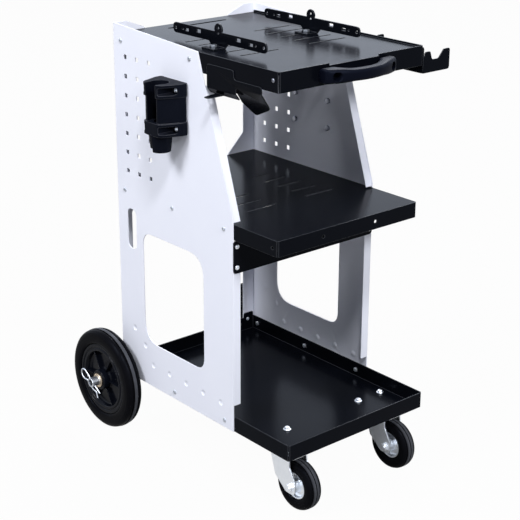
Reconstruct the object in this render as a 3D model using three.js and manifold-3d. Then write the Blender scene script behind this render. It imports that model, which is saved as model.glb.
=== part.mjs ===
// Welding cart: two folded side panels carry a top tray, a middle shelf and a bottom tray.
// It rolls on two fixed rear wheels and two swivel casters. Millimetres, +X forwards, +Y left, +Z up.
import * as THREE from 'three';
import { mergeVertices } from 'three/addons/utils/BufferGeometryUtils.js';
import Module from 'manifold-3d';

// Sheet metal body
const CART_WIDTH = 357;
const SHEET = 2;
const FIT = 0.3;
const PANEL_BOTTOM = 124;
const PANEL_TOP_REAR = 861;
const PANEL_TOP_FRONT = 846;
const PANEL_TOP_LENGTH = 264;
const PANEL_LENGTH = 363;
const PANEL_BREAK = 551;
const FRONT_FLANGE = 18;
const REAR_FLANGE = 31;
const REAR_TAB = 74;
const TAB_RISE = 43;
const TAB_FILLET = 6;
const FILLET_STEP = 2.5;
const TRAY_CLEARANCE = 22;
const SHELF_CLEARANCE = 3;
const SEAM = 1;

// Openings and pressings of a side panel
const PERFORATION_PITCH = 38;
const PERFORATION_SIDE = 9;
const PERFORATION_COLUMNS = 3;
const PERFORATION_ROWS = 7;
const PERFORATION_START = [37, 799];
const HAND_SLOT = { x: 45, z: 451, width: 30, height: 84 };
const CUTOUT = { rear: 81, front: 275, bottom: 220, top: 455, corner: 28, slope: 46 };
const DIMPLE_RADIUS = 6.5;
const DIMPLE_DEPTH = 2.2;
const DIMPLE_ROW_Z = 172;
const DIMPLE_ROW_START = 107;
const DIMPLE_PITCH = 54.5;
const DIMPLE_ROW_COUNT = 5;
const UPPER_DIMPLES = [[46, 236], [81, 208]];

// Trays and shelf
const TOP_LENGTH = 484;
const TOP_RIM = 845.5;
const TOP_LIP = 4;
const TOP_FLANGE = 37.5;
const TOP_SLOT_ROWS = [165, 205, 245, 285, 325];
const TOP_SLOT_INNER = 38;
const TOP_SLOT_OUTER = 130;
const SLOT_WIDTH = 5;
const REAR_SLOT = { x: 36, length: 148, width: 8 };
const GRIP_NOTCH = 121;
const SHELF_TOP = 543.5;
const SHELF_FLANGE = 30.5;
const SHELF_SLOT_ROWS = [160, 200, 240, 280, 320];
const SHELF_SLOT_INNER = 37;
const SHELF_SLOT_OUTER = 83;
const SHELF_SLOT_GROWTH = 7.2;
const SHELF_HOLE = { y: 66, setback: 14, radius: 3.5 };
const DECK_LENGTH = 520;
const DECK_WALL = 32;
const DECK_TAB = 10;
const CROSS_PLATE_HEIGHT = 63;
const CROSS_PLATE_CORNER = 8;

// Handle on the front flange
const HANDLE_HALF = 86;
const HANDLE_HEIGHT = 27;
const HANDLE_END_DEPTH = 24;
const HANDLE_BOW = 22;
const HANDLE_POST = 27;
const HANDLE_GRIP = 15;
const HANDLE_ROUND = 3;
const HANDLE_SHOULDER = 6;
const HANDLE_CHAMFER = 4;
const HANDLE_SCREW_Y = 68;
const HANDLE_SCREW_SEAT = 10;
const HANDLE_SCREW = 3;
const RECESS_RADIUS = 7.5;

// Brackets on the top tray
const HOOK_REAR = 310;
const HOOK_REACH = 70;
const HOOK_BOTTOM = 792;
const HOOK_HEIGHT = 40;
const HOOK_NOTCH = { start: 17, width: 36, depth: 16, nearSlope: 5, farSlope: 14 };
const HANGER_GAP = 6;
const HANGER_LENGTH = 151;
const HANGER_TOP = 829;
const HANGER_BOTTOM = 786;
const HANGER_STEP = 12;
const HANGER_STRIP_LENGTH = 82;
const HANGER_STRIP = 14;
const HANGER_SLANT = 37;
const WING = { length: 75, side: 38, tip: 69 };
const FINGER = { start: 16, width: 22, tip: 10, reach: 36 };

// Clamp bars
const BAR_Y = 114;
const BAR_HALF = 136;
const BAR_HEIGHT = 20;
const BAR_LIFT = 9.5;
const BAR_THICK = 3;
const BAR_NECK = 37;
const BAR_NECK_TOP = 58;
const LUG_RADIUS = 11.5;
const LUG_RISE = 24;
const FOOT_REACH = 26;
const FOOT_BOLT = 11;
const CLAMP_BOLT = 2.2;

// Torch holder
const HOLDER_X = 194;
const HOLDER_TOP = 783;
const HOLDER_HEIGHT = 98;
const HOLDER_WIDTH = 82;
const HOLDER_DEPTH = 56;
const HOLDER_COLLAR = 25;
const HOLDER_INSET = 2.5;
const HOLDER_CHEEK = 14;
const HOLDER_WALL = 7;
const HOLDER_CORNER = 12;
const CHANNEL = { radius: 18, mouth: 15 };
const POCKET = { height: 14, floor: 20, end: 4 };
const HOLDER_SCREW_INSET = 10;
const BORE_OFFSET = 34;
const BORE_RADIUS = 13;
const NOZZLE_TOP = 23;
const NOZZLE_TIP = 19;
const NOZZLE_LENGTH = 33;
const NOZZLE_NOTCH = { offset: 2, height: 7 };
const NOZZLE_SLIT = 3;

// Rear axle and wheels
const AXLE_X = -23;
const AXLE_RADIUS = 10;
const AXLE_BORE = 7;
const AXLE_END = 18;
const WHEEL_RADIUS = 107;
const WHEEL_Y = 206;
const TYRE_HALF = 18;
const RIM_RADIUS = 77;
const RIM_HALF = 14;
const HUB_RADIUS = 21;
const HUB_HALF = 22;
const WEB_HALF = 4;
const RIM_RING = 16;
const RIB_COUNT = 6;
const RIB_THICK = 2.4;
const RIB_BITE = 2;
const WASHER_RADIUS = 15;
const WASHER_THICK = 2.5;
const CLIP_WIRE = 1.7;
const CLIP_LENGTH = 72;
const CLIP_LOOP = 19;
const CLIP_INSET = 6;
const CLIP_TILT = 34;
const BRACKET_GAP = 4;
const BRACKET_THICK = 5;
const BRACKET_EYE = 17;
const BRACKET_LENGTH = 75;
const BRACKET_FOOT = 32;

// Casters
const CASTER_SETBACK = 56;
const CASTER_Y = 126;
const CASTER_OFFSET = 31;
const CASTER_RADIUS = 50;
const CASTER_HALF = 16;
const CASTER_HUB = 27;
const CASTER_HUB_HALF = 11;
const CASTER_CORE = 12;
const CASTER_PLATE = [105, 85, 3];
const FORK_INSIDE = 20.5;
const FORK_SHEET = 3;
const FORK_TOP = 106;
const FORK_HALF = 26;
const RACE_RADIUS = 29;
const PIN_RADIUS = 6;
const CASTER_BOLT = 5;
const HEX_RADIUS = 9;
const HEX_HEIGHT = 6;
const SMALL_HEX = 6.5;
const SMALL_HEX_HEIGHT = 4;

// Materials
const finish = (color, roughness, metalness) => () =>
  new THREE.MeshStandardMaterial({ color, roughness, metalness });
const palePaint = finish(0xe6e8f6, 0.35, 0);
const blackPaint = finish(0x14151c, 0.3, 0);
const blackPlastic = finish(0x101117, 0.5, 0);
const blackRubber = finish(0x17171c, 0.8, 0);
const zinc = finish(0xd6d9dc, 0.32, 0.9);

// Booleans on closed meshes
const wasm = await Module();
wasm.setup();

function solid(geometry) {
  const bare = geometry.clone();
  bare.deleteAttribute('normal');
  bare.deleteAttribute('uv');
  const welded = mergeVertices(bare, 1e-4);
  const vertProperties = new Float32Array(welded.attributes.position.array);
  const triVerts = new Uint32Array(welded.index.array);
  return new wasm.Manifold(new wasm.Mesh({ numProp: 3, vertProperties, triVerts }));
}

function geometryOf(body) {
  const mesh = body.getMesh();
  const geometry = new THREE.BufferGeometry();
  geometry.setAttribute('position', new THREE.BufferAttribute(mesh.vertProperties, 3));
  geometry.setIndex(new THREE.BufferAttribute(mesh.triVerts, 1));
  geometry.computeVertexNormals();
  return geometry;
}

const join = (...bodies) => bodies.reduce((sum, body) => sum.add(body));
const cut = (body, ...tools) => tools.reduce((rest, tool) => rest.subtract(tool), body);

// Outlines: corners are [x, y] or [x, y, radius], and a wide radius has more steps
const filletSteps = (radius) => THREE.MathUtils.clamp(Math.round(radius / FILLET_STEP), 1, 7);

function outline(corners) {
  const shape = new THREE.Shape();
  const count = corners.length;
  corners.forEach(([x, y, radius = 0], index) => {
    const corner = new THREE.Vector2(x, y);
    const before = new THREE.Vector2(...corners[(index + count - 1) % count]).sub(corner).normalize();
    const after = new THREE.Vector2(...corners[(index + 1) % count]).sub(corner).normalize();
    const reach = radius / Math.tan(Math.acos(before.dot(after)) / 2);
    const start = corner.clone().addScaledVector(before, reach);
    const end = corner.clone().addScaledVector(after, reach);
    if (index === 0) {
      shape.moveTo(start.x, start.y);
    } else {
      shape.lineTo(start.x, start.y);
    }
    if (radius > 0) {
      const bend = new THREE.QuadraticBezierCurve(start, corner, end).getPoints(filletSteps(radius));
      bend.slice(1).forEach((point) => shape.lineTo(point.x, point.y));
    }
  });
  shape.closePath();
  return shape;
}

const rectangle = (x0, y0, x1, y1, radius = 0) =>
  outline([[x0, y0, radius], [x1, y0, radius], [x1, y1, radius], [x0, y1, radius]]);

function disc(x, y, radius) {
  const shape = new THREE.Shape();
  shape.absarc(x, y, radius, 0, 2 * Math.PI);
  return shape;
}

// Prisms: an outline pushed through the body along one axis
const ALONG_X = new THREE.Matrix4().makeBasis(
  new THREE.Vector3(0, 1, 0), new THREE.Vector3(0, 0, 1), new THREE.Vector3(1, 0, 0));
const ALONG_Y = new THREE.Matrix4().makeBasis(
  new THREE.Vector3(1, 0, 0), new THREE.Vector3(0, 0, 1), new THREE.Vector3(0, -1, 0));

function push(shape, low, high, curveSegments = 4) {
  const depth = high - low;
  return new THREE.ExtrudeGeometry(shape, { depth, bevelEnabled: false, curveSegments }).translate(0, 0, low);
}

const prismZ = (shape, low, high, detail) => solid(push(shape, low, high, detail));
const prismX = (shape, low, high, detail) => solid(push(shape, low, high, detail).applyMatrix4(ALONG_X));
const prismY = (shape, low, high, detail) => solid(push(shape, -high, -low, detail).applyMatrix4(ALONG_Y));

// Revolved bodies: profile of [radius, height], run anticlockwise
const lathe = (profile, segments) =>
  new THREE.LatheGeometry(profile.map(([r, h]) => new THREE.Vector2(r, h)), segments);
const ring = (profile, segments) => lathe([...profile, profile[0]], segments);
const upright = (geometry) => geometry.rotateX(Math.PI / 2);
const rod = (radius, low, high, segments = 16) =>
  lathe([[0, low], [radius, low], [radius, high], [0, high]], segments);

function mirrorProfile(half) {
  const lower = half.map(([r, h]) => [r, -h]);
  return [...lower, ...half.slice().reverse()];
}

// The cart stands over the centre of its box
const casterX = DECK_LENGTH - CASTER_SETBACK;
const frontEnd = casterX + CASTER_OFFSET + CASTER_RADIUS;
const rearEnd = AXLE_X - WHEEL_RADIUS;
const cart = new THREE.Group();
cart.name = 'welding_cart';
cart.position.x = -(frontEnd + rearEnd) / 2;

function place(name, body, material, parent = cart) {
  const mesh = new THREE.Mesh(body.isBufferGeometry ? body : geometryOf(body), material());
  mesh.name = name;
  parent.add(mesh);
  return mesh;
}

const SIDES = [['right', -1], ['left', 1]];
const outer = CART_WIDTH / 2;
const inner = outer - SHEET;
const spanY = (side, a, b) => [Math.min(side * a, side * b), Math.max(side * a, side * b)];

// Side panels: plate with folded front and rear flanges
const slopeX = (z) => PANEL_TOP_LENGTH
  + (PANEL_TOP_FRONT - z) * (PANEL_LENGTH - PANEL_TOP_LENGTH) / (PANEL_TOP_FRONT - PANEL_BREAK);
const shelfBottom = SHELF_TOP - SHELF_FLANGE;
const trayBottom = TOP_RIM - TOP_FLANGE;
const deckTop = PANEL_BOTTOM + DECK_WALL;
const flangeSteps = {
  top: trayBottom - TRAY_CLEARANCE,
  shelfUpper: SHELF_TOP + SHELF_CLEARANCE,
  shelfLower: shelfBottom - SHELF_CLEARANCE,
  deck: deckTop + TRAY_CLEARANCE,
};

function perforations() {
  const holes = [];
  const [startX, startZ] = PERFORATION_START;
  const half = PERFORATION_SIDE / 2;
  for (let column = 0; column < PERFORATION_COLUMNS; column += 1) {
    for (let row = 0; row < PERFORATION_ROWS; row += 1) {
      const x = startX + column * PERFORATION_PITCH;
      const z = startZ - row * PERFORATION_PITCH;
      holes.push(rectangle(x - half, z - half, x + half, z + half));
    }
  }
  return holes;
}

function handOpenings() {
  const { x, z, width, height } = HAND_SLOT;
  const { rear, front, bottom, top, corner, slope } = CUTOUT;
  return [
    rectangle(x - width / 2, z - height / 2, x + width / 2, z + height / 2, width * 0.45),
    outline([[rear, bottom, slope], [front, bottom, corner], [front, top, slope], [rear, top, corner]]),
  ];
}

function dimplePlaces() {
  const row = Array.from({ length: DIMPLE_ROW_COUNT }, (_, index) =>
    [DIMPLE_ROW_START + index * DIMPLE_PITCH, DIMPLE_ROW_Z]);
  return [...UPPER_DIMPLES, ...row];
}

// A pressed dimple is half a flattened ball: radius times cosine, depth times sine
function dimple(radius, side) {
  const steps = [0, 1 / 4, 1 / 2].map((turn) =>
    [radius * Math.cos(turn * Math.PI), DIMPLE_DEPTH * Math.sin(turn * Math.PI)]);
  return lathe([[0, 0], ...steps.slice(0, -1), [0, DIMPLE_DEPTH]], 10).rotateX(side > 0 ? Math.PI : 0);
}

function frontStrip(low, high) {
  const corners = [low, high].map((z) => [z > PANEL_BREAK ? slopeX(z) : PANEL_LENGTH, z]);
  return outline([corners[0], corners[1], [corners[1][0] - SHEET, high], [corners[0][0] - SHEET, low]]);
}

function rearStrip(side) {
  const across = (depth, z, radius = 0) => [side * (outer - depth), z, radius];
  return outline([
    across(0, PANEL_BOTTOM),
    across(REAR_FLANGE, PANEL_BOTTOM),
    across(REAR_FLANGE, shelfBottom - TAB_RISE, TAB_FILLET),
    across(REAR_TAB, shelfBottom, TAB_FILLET),
    across(REAR_TAB, SHELF_TOP, TAB_FILLET),
    across(REAR_FLANGE, SHELF_TOP + TAB_RISE, TAB_FILLET),
    across(REAR_FLANGE, trayBottom - TAB_RISE, TAB_FILLET),
    across(REAR_TAB, trayBottom, TAB_FILLET),
    across(REAR_TAB, TOP_RIM - SHEET, TAB_FILLET),
    across(REAR_FLANGE, PANEL_TOP_REAR - 1, 2 * TAB_FILLET),
    across(0, PANEL_TOP_REAR - 0.5),
  ]);
}

function sidePanel(side) {
  const sheet = outline([
    [0, PANEL_BOTTOM], [PANEL_LENGTH, PANEL_BOTTOM], [PANEL_LENGTH, PANEL_BREAK],
    [PANEL_TOP_LENGTH, PANEL_TOP_FRONT], [0, PANEL_TOP_REAR],
  ]);
  const plate = prismY(sheet, ...spanY(side, inner, outer));
  const through = spanY(side, inner - 1, outer + 1);
  const openings = [
    ...perforations().map((hole) => prismY(hole, ...through)),
    ...handOpenings().map((hole) => prismY(hole, ...through)),
  ];
  const strips = [
    [flangeSteps.shelfUpper, flangeSteps.top],
    [flangeSteps.deck, flangeSteps.shelfLower],
  ].map(([low, high]) => prismY(frontStrip(low, high), ...spanY(side, outer - FRONT_FLANGE, outer)));
  const back = prismX(rearStrip(side), 0, SHEET);
  const bumps = [];
  const dents = [];
  for (const [x, z] of dimplePlaces()) {
    bumps.push(solid(dimple(DIMPLE_RADIUS + SHEET / 2, side).translate(x, side * inner, z)));
    dents.push(solid(dimple(DIMPLE_RADIUS, side).translate(x, side * outer, z)));
  }
  return cut(join(cut(plate, ...openings), ...strips, back, ...bumps), ...dents);
}

for (const [name, side] of SIDES) {
  place(`${name}_side_panel`, sidePanel(side), palePaint);
}

// Trays: a floor with four folded walls, hung between the panels behind their rear flanges
function foldedTray(length, low, high, floorLow, corner = 3) {
  const shell = prismZ(rectangle(SHEET, -inner, length, inner, corner), low, high);
  const well = rectangle(2 * SHEET, SHEET - inner, length - SHEET, inner - SHEET, 1);
  const pocket = (bottom, top) => prismZ(well, bottom, top);
  const pockets = [];
  if (floorLow > low) {
    pockets.push(pocket(low - 1, floorLow));
  }
  if (floorLow + SHEET < high) {
    pockets.push(pocket(floorLow + SHEET, high + 1));
  }
  return cut(shell, ...pockets);
}

// The side walls end just behind the front wall, so the folded corners have an open seam
function cornerSeams(length, low, high) {
  return SIDES.map(([, side]) => {
    const [near, far] = spanY(side, inner - SHEET - SEAM, inner + SEAM);
    return prismZ(rectangle(length - SHEET - SEAM, near, length - SHEET, far), low, high);
  });
}

const slotAcross = (x, from, to, width = SLOT_WIDTH) =>
  rectangle(x - width / 2, Math.min(from, to), x + width / 2, Math.max(from, to), width * 0.45);

// Top tray: shallow pan with deep flanges, adjustment slots and a finger notch at the handle
const panTop = TOP_RIM - TOP_LIP;
const panLow = panTop - SHEET;
const topSlots = TOP_SLOT_ROWS.flatMap((x) => SIDES.map(([, side]) =>
  slotAcross(x, side * TOP_SLOT_INNER, side * TOP_SLOT_OUTER)));
topSlots.push(slotAcross(REAR_SLOT.x, -REAR_SLOT.length / 2, REAR_SLOT.length / 2, REAR_SLOT.width));
const fingerNotch = prismX(rectangle(-GRIP_NOTCH / 2, panTop, GRIP_NOTCH / 2, TOP_RIM + 1),
  TOP_LENGTH - SHEET - 1, TOP_LENGTH + 1);
const rearLip = prismX(rectangle(-inner - 1, panTop, inner + 1, TOP_RIM + 1), 0, 2 * SHEET);
const topCutters = topSlots.map((slot) => prismZ(slot, panLow - 1, panTop + 1));
const topPan = foldedTray(TOP_LENGTH, trayBottom, TOP_RIM, panLow);
const topSeams = cornerSeams(TOP_LENGTH, trayBottom - 1, panLow);
place('top_tray', cut(topPan, fingerNotch, rearLip, ...topSeams, ...topCutters), blackPaint);

// Middle shelf: flat top, flanges down, slots that lengthen towards the front
const shelfSlotEnd = (row) => SHELF_SLOT_OUTER + row * SHELF_SLOT_GROWTH;
const shelfSlots = SHELF_SLOT_ROWS.flatMap((x, row) => SIDES.map(([, side]) =>
  slotAcross(x, side * SHELF_SLOT_INNER, side * shelfSlotEnd(row), SLOT_WIDTH - 1)));
const shelfCutters = shelfSlots.map((slot) => prismZ(slot, shelfBottom, SHELF_TOP + 1));
const shelfPan = foldedTray(TOP_LENGTH, shelfBottom, SHELF_TOP, SHELF_TOP - SHEET);
const shelfSeams = cornerSeams(TOP_LENGTH, shelfBottom - 1, SHELF_TOP - SHEET);
const shelfHoleZ = (shelfBottom + SHELF_TOP) / 2;
const frontHoles = SIDES.map(([, side]) =>
  prismX(disc(side * SHELF_HOLE.y, shelfHoleZ, SHELF_HOLE.radius), TOP_LENGTH - 2 * SHEET, TOP_LENGTH + 1));
const sideHole = prismY(disc(TOP_LENGTH - SHELF_HOLE.setback, shelfHoleZ, SHELF_HOLE.radius), -outer, outer);
place('middle_shelf', cut(shelfPan, ...shelfSeams, ...frontHoles, sideHole, ...shelfCutters), blackPaint);

// Bottom tray: walls up, with raised tabs where the rear wall is screwed to the panel flanges
const deckFloor = PANEL_BOTTOM + SHEET;
const deckTabs = SIDES.map(([, side]) => prismX(
  rectangle(...spanY(side, inner - 2, outer - REAR_FLANGE).flatMap((y, end) =>
    [y, end ? deckTop + DECK_TAB : deckTop - DECK_WALL / 2]), 4), SHEET, 2 * SHEET));
const deckPan = foldedTray(DECK_LENGTH, PANEL_BOTTOM, deckTop, PANEL_BOTTOM);
const deckSeams = cornerSeams(DECK_LENGTH, deckFloor, deckTop + 1);
place('bottom_tray', cut(join(deckPan, ...deckTabs), ...deckSeams), blackPaint);

// Cross plate: bolted over the front flanges below the shelf
const crossTop = flangeSteps.shelfLower;
const crossBottom = crossTop - CROSS_PLATE_HEIGHT;
const crossPlate = outline([
  [-outer, crossBottom, CROSS_PLATE_CORNER], [outer, crossBottom, CROSS_PLATE_CORNER],
  [outer, crossTop, SHEET], [-outer, crossTop, SHEET],
]);
place('middle_cross_plate', prismX(crossPlate, PANEL_LENGTH, PANEL_LENGTH + SHEET), blackPaint);

// Handle: bow grip on two posts, with sunk screws
const handleLow = (trayBottom + TOP_RIM - HANDLE_HEIGHT) / 2;
const handleMid = handleLow + HANDLE_HEIGHT / 2;

function handleShape() {
  const end = TOP_LENGTH + HANDLE_END_DEPTH;
  const crown = end + 2 * HANDLE_BOW;
  const gapDepth = end - HANDLE_GRIP;
  const gapHalf = HANDLE_HALF - HANDLE_POST;
  const gapEnd = gapHalf - HANDLE_SHOULDER;
  const shoulder = HANDLE_HALF - HANDLE_SHOULDER;
  const shape = new THREE.Shape();
  shape.moveTo(TOP_LENGTH, -HANDLE_HALF);
  shape.lineTo(end - HANDLE_CHAMFER, -HANDLE_HALF);
  shape.lineTo(end, -shoulder);
  shape.quadraticCurveTo(crown, 0, end, shoulder);
  shape.lineTo(end - HANDLE_CHAMFER, HANDLE_HALF);
  shape.lineTo(TOP_LENGTH, HANDLE_HALF);
  shape.lineTo(TOP_LENGTH, gapHalf);
  shape.lineTo(gapDepth, gapEnd);
  shape.quadraticCurveTo(crown - 1.5 * HANDLE_GRIP, 0, gapDepth, -gapEnd);
  shape.lineTo(TOP_LENGTH, -gapHalf);
  shape.closePath();
  return shape;
}

const handleBlock = new THREE.ExtrudeGeometry(handleShape(), {
  depth: HANDLE_HEIGHT - 2 * HANDLE_ROUND,
  bevelThickness: HANDLE_ROUND,
  bevelSize: HANDLE_ROUND,
  bevelOffset: -HANDLE_ROUND,
  bevelSegments: 2,
  curveSegments: 12,
}).translate(-HANDLE_ROUND, 0, handleLow + HANDLE_ROUND);
const handleSeat = TOP_LENGTH + HANDLE_SCREW_SEAT;
const handleTop = handleLow + HANDLE_HEIGHT;
const behindFlange = prismX(rectangle(-HANDLE_HALF - 1, handleLow - 1, HANDLE_HALF + 1, handleTop + 1),
  TOP_LENGTH - 2 * HANDLE_ROUND - 1, TOP_LENGTH);
const screwPlaces = SIDES.map(([name, side]) => [name, side * HANDLE_SCREW_Y]);
const recesses = screwPlaces.map(([, y]) =>
  prismX(disc(y, handleMid, RECESS_RADIUS), handleSeat, TOP_LENGTH + HANDLE_END_DEPTH + HANDLE_BOW));
const shanks = screwPlaces.map(([, y]) =>
  prismX(disc(y, handleMid, HANDLE_SCREW + FIT), TOP_LENGTH - 1, handleSeat + 1));
place('handle', cut(solid(handleBlock), behindFlange, ...recesses, ...shanks), blackPlastic);
for (const [name, y] of screwPlaces) {
  const head = prismX(disc(y, handleMid, RECESS_RADIUS - 1.5), handleSeat, handleSeat + 4);
  const shank = prismX(disc(y, handleMid, HANDLE_SCREW), TOP_LENGTH, handleSeat + 1);
  place(`handle_screw_${name}`, join(head, shank), zinc);
}

// Hook bracket: plate on the left flange with a notched ear at either end
function hookEar() {
  const { start, width, depth, nearSlope, farSlope } = HOOK_NOTCH;
  const top = HOOK_BOTTOM + HOOK_HEIGHT;
  return outline([
    [inner, HOOK_BOTTOM, 1],
    [outer + HOOK_REACH, HOOK_BOTTOM, 5],
    [outer + HOOK_REACH, top, 4],
    [outer + start + width, top, 4],
    [outer + start + width - farSlope, top - depth, 5],
    [outer + start + nearSlope, top - depth, 5],
    [outer + start, top, 4],
    [outer + 2, top, 3],
    [outer + 2, top - 8, 1],
    [inner, top - 8, 1],
  ]);
}

const hookPlate = prismY(rectangle(HOOK_REAR, HOOK_BOTTOM, TOP_LENGTH, TOP_RIM - TOP_LIP, 4), inner, outer);
const hookEars = [HOOK_REAR, TOP_LENGTH - SHEET].map((x) => prismX(hookEar(), x, x + SHEET));
place('hook_bracket', join(hookPlate, ...hookEars), blackPaint);

// Cable hanger: stepped plate on the right flange with a slanted strip, a slanted wing and a bent finger
const slant = THREE.MathUtils.degToRad(HANGER_SLANT);
const slantPlane = (z) => new THREE.Matrix4().makeBasis(
  new THREE.Vector3(1, 0, 0),
  new THREE.Vector3(0, Math.sin(slant), -Math.cos(slant)),
  new THREE.Vector3(0, Math.cos(slant), Math.sin(slant)),
).setPosition(0, -outer, z);
const slanted = (shape, z) => solid(push(shape, 0, SHEET).applyMatrix4(slantPlane(z)));
const wingBase = HANGER_BOTTOM + HANGER_STEP;
const hangerRear = slopeX(HANGER_BOTTOM) + HANGER_GAP;
const hangerFront = hangerRear + HANGER_LENGTH;
const stripEnd = hangerRear + HANGER_STRIP_LENGTH;
const wingRear = hangerFront - WING.length;
const hangerPlate = prismY(outline([
  [hangerRear, HANGER_BOTTOM, 2], [stripEnd, HANGER_BOTTOM, 2], [stripEnd, wingBase, 2],
  [hangerFront, wingBase, 2], [hangerFront, trayBottom + 4, 6], [wingRear, trayBottom + 4, 6],
  [wingRear, HANGER_TOP, 6], [hangerRear, HANGER_TOP, 6],
]), -outer, -inner);
const strip = slanted(rectangle(hangerRear, 0, stripEnd, HANGER_STRIP, 1), HANGER_BOTTOM);
const wing = slanted(outline([
  [wingRear, 0], [hangerFront, 0], [hangerFront - 3, WING.side, 16],
  [wingRear + 12, WING.tip, 10], [wingRear - 5, WING.side, 4],
]), wingBase);
const fingerRear = hangerRear + FINGER.start;
const fingerFront = fingerRear + FINGER.width;
const fingerRoot = HANGER_STRIP * Math.sin(slant) - outer;
const fingerLow = HANGER_BOTTOM - HANGER_STRIP * Math.cos(slant);
const finger = prismZ(outline([
  [fingerRear, fingerRoot + SHEET / 2], [fingerRear + FINGER.tip, fingerRoot - FINGER.reach, 4],
  [fingerFront, fingerRoot - FINGER.reach, 4], [fingerFront, fingerRoot + SHEET / 2],
]), fingerLow, fingerLow + SHEET);
place('cable_hanger', join(hangerPlate, strip, wing, finger), blackPaint);

// Clamp bars: flat bar on edge with a lug on top, a neck and a foot that is bolted through a slot
const barX = TOP_SLOT_ROWS[2];
const barLow = panTop + BAR_LIFT;
const barTop = barLow + BAR_HEIGHT;
const barMid = barLow + BAR_HEIGHT / 2;
const lugZ = barLow + LUG_RISE;
const footTop = panTop + BAR_THICK;

function barHoles() {
  const holes = [disc(barX, lugZ + 3, 2.6), disc(barX, lugZ - 7, 2.2)];
  for (const [, side] of SIDES) {
    const along = (share) => barX + side * share * BAR_HALF;
    holes.push(disc(along(0.94), barMid, 3));
    holes.push(disc(along(0.78), barMid, 2));
    holes.push(rectangle(along(0.685) - 5, barMid - 2.5, along(0.685) + 5, barMid + 2.5));
    holes.push(rectangle(along(0.425) - 6, barMid, along(0.425) + 6, barMid + 6));
  }
  return holes;
}

function clampBar(y) {
  const faces = [y - BAR_THICK / 2, y + BAR_THICK / 2];
  const barEnd = BAR_HEIGHT * 0.48;
  const bar = prismY(rectangle(barX - BAR_HALF, barLow, barX + BAR_HALF, barTop, barEnd), ...faces);
  const lug = prismY(disc(barX, lugZ, LUG_RADIUS), ...faces, 7);
  const neck = prismY(outline([
    [barX - BAR_NECK / 2, panTop], [barX + BAR_NECK / 2, panTop],
    [barX + BAR_NECK_TOP / 2, barLow + 2], [barX - BAR_NECK_TOP / 2, barLow + 2],
  ]), ...faces);
  const foot = prismZ(rectangle(barX - BAR_NECK / 2, faces[0] - FOOT_REACH, barX + BAR_NECK / 2, faces[1], 4),
    panTop, footTop);
  const holes = barHoles().map((hole) => prismY(hole, faces[0] - 1, faces[1] + 1, 3));
  const boltHole = prismZ(disc(barX, y - FOOT_BOLT, CLAMP_BOLT + FIT), panTop - 1, footTop + 1);
  return cut(join(bar, lug, neck, foot), ...holes, boltHole);
}

const hexagon = (radius, low, high) => upright(new THREE.CylinderGeometry(radius, radius, high - low, 6))
  .translate(0, 0, (low + high) / 2);

for (const [name, side] of SIDES) {
  const y = side * BAR_Y;
  place(`clamp_bar_${name}`, clampBar(y), blackPaint);
  const shank = upright(rod(CLAMP_BOLT, panLow - SMALL_HEX_HEIGHT, footTop + 1, 12));
  const head = hexagon(SMALL_HEX, footTop, footTop + SMALL_HEX_HEIGHT);
  const nut = hexagon(SMALL_HEX, panLow - SMALL_HEX_HEIGHT, panLow);
  const bolt = join(solid(head), solid(shank), solid(nut));
  place(`clamp_bolt_${name}`, bolt.translate([barX, y - FOOT_BOLT, 0]), zinc);
}

// Torch holder: moulded open channel with two collars, sunk screw pockets and a tapered nozzle
const holderBottom = HOLDER_TOP - HOLDER_HEIGHT;
const boreY = -outer - BORE_OFFSET;
const holderPlan = (inset) => outline([
  [HOLDER_X - HOLDER_WIDTH / 2 + inset, -outer, 3],
  [HOLDER_X - HOLDER_WIDTH / 2 + inset, -outer - HOLDER_CHEEK, 6],
  [HOLDER_X - CHANNEL.radius - HOLDER_WALL + inset, -outer - HOLDER_DEPTH + inset, HOLDER_CORNER],
  [HOLDER_X + CHANNEL.radius + HOLDER_WALL - inset, -outer - HOLDER_DEPTH + inset, HOLDER_CORNER],
  [HOLDER_X + HOLDER_WIDTH / 2 - inset, -outer - HOLDER_CHEEK, 6],
  [HOLDER_X + HOLDER_WIDTH / 2 - inset, -outer, 3],
]);
const holderBody = prismZ(holderPlan(HOLDER_INSET), holderBottom + 1, HOLDER_TOP - 1);
const collars = [HOLDER_TOP - HOLDER_COLLAR, holderBottom].map((low) =>
  prismZ(holderPlan(0), low, low + HOLDER_COLLAR));
const nozzle = solid(upright(lathe([
  [0, holderBottom - NOZZLE_LENGTH], [NOZZLE_TIP, holderBottom - NOZZLE_LENGTH],
  [NOZZLE_TOP, holderBottom + 2], [0, holderBottom + 2],
], 16)).translate(HOLDER_X, boreY, 0));
const nozzleEnd = holderBottom - NOZZLE_LENGTH;
const bore = prismZ(disc(HOLDER_X, boreY, BORE_RADIUS), nozzleEnd - 1, HOLDER_TOP, 8);

// Above the lower collar the bore widens to a channel with an open mouth at the front
const channelLow = holderBottom + HOLDER_COLLAR;
const channelFront = -outer - HOLDER_DEPTH - 1;
const channel = [
  prismZ(disc(HOLDER_X, boreY, CHANNEL.radius), channelLow, HOLDER_TOP + 1, 8),
  prismZ(rectangle(HOLDER_X - CHANNEL.mouth, channelFront, HOLDER_X + CHANNEL.mouth, boreY),
    channelLow, HOLDER_TOP + 1),
];

// The nozzle has a slit down its front and is shorter behind it
const notchPlan = rectangle(HOLDER_X - NOZZLE_TOP, boreY - NOZZLE_TOP, HOLDER_X - NOZZLE_NOTCH.offset,
  boreY + NOZZLE_TOP);
const slitPlan = rectangle(HOLDER_X - NOZZLE_NOTCH.offset - 1, boreY - NOZZLE_TOP - 1,
  HOLDER_X - NOZZLE_NOTCH.offset - 1 + NOZZLE_SLIT, boreY);
const tipCuts = [
  prismZ(notchPlan, nozzleEnd - 1, nozzleEnd + NOZZLE_NOTCH.height),
  prismZ(slitPlan, nozzleEnd - 1, holderBottom),
];

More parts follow.
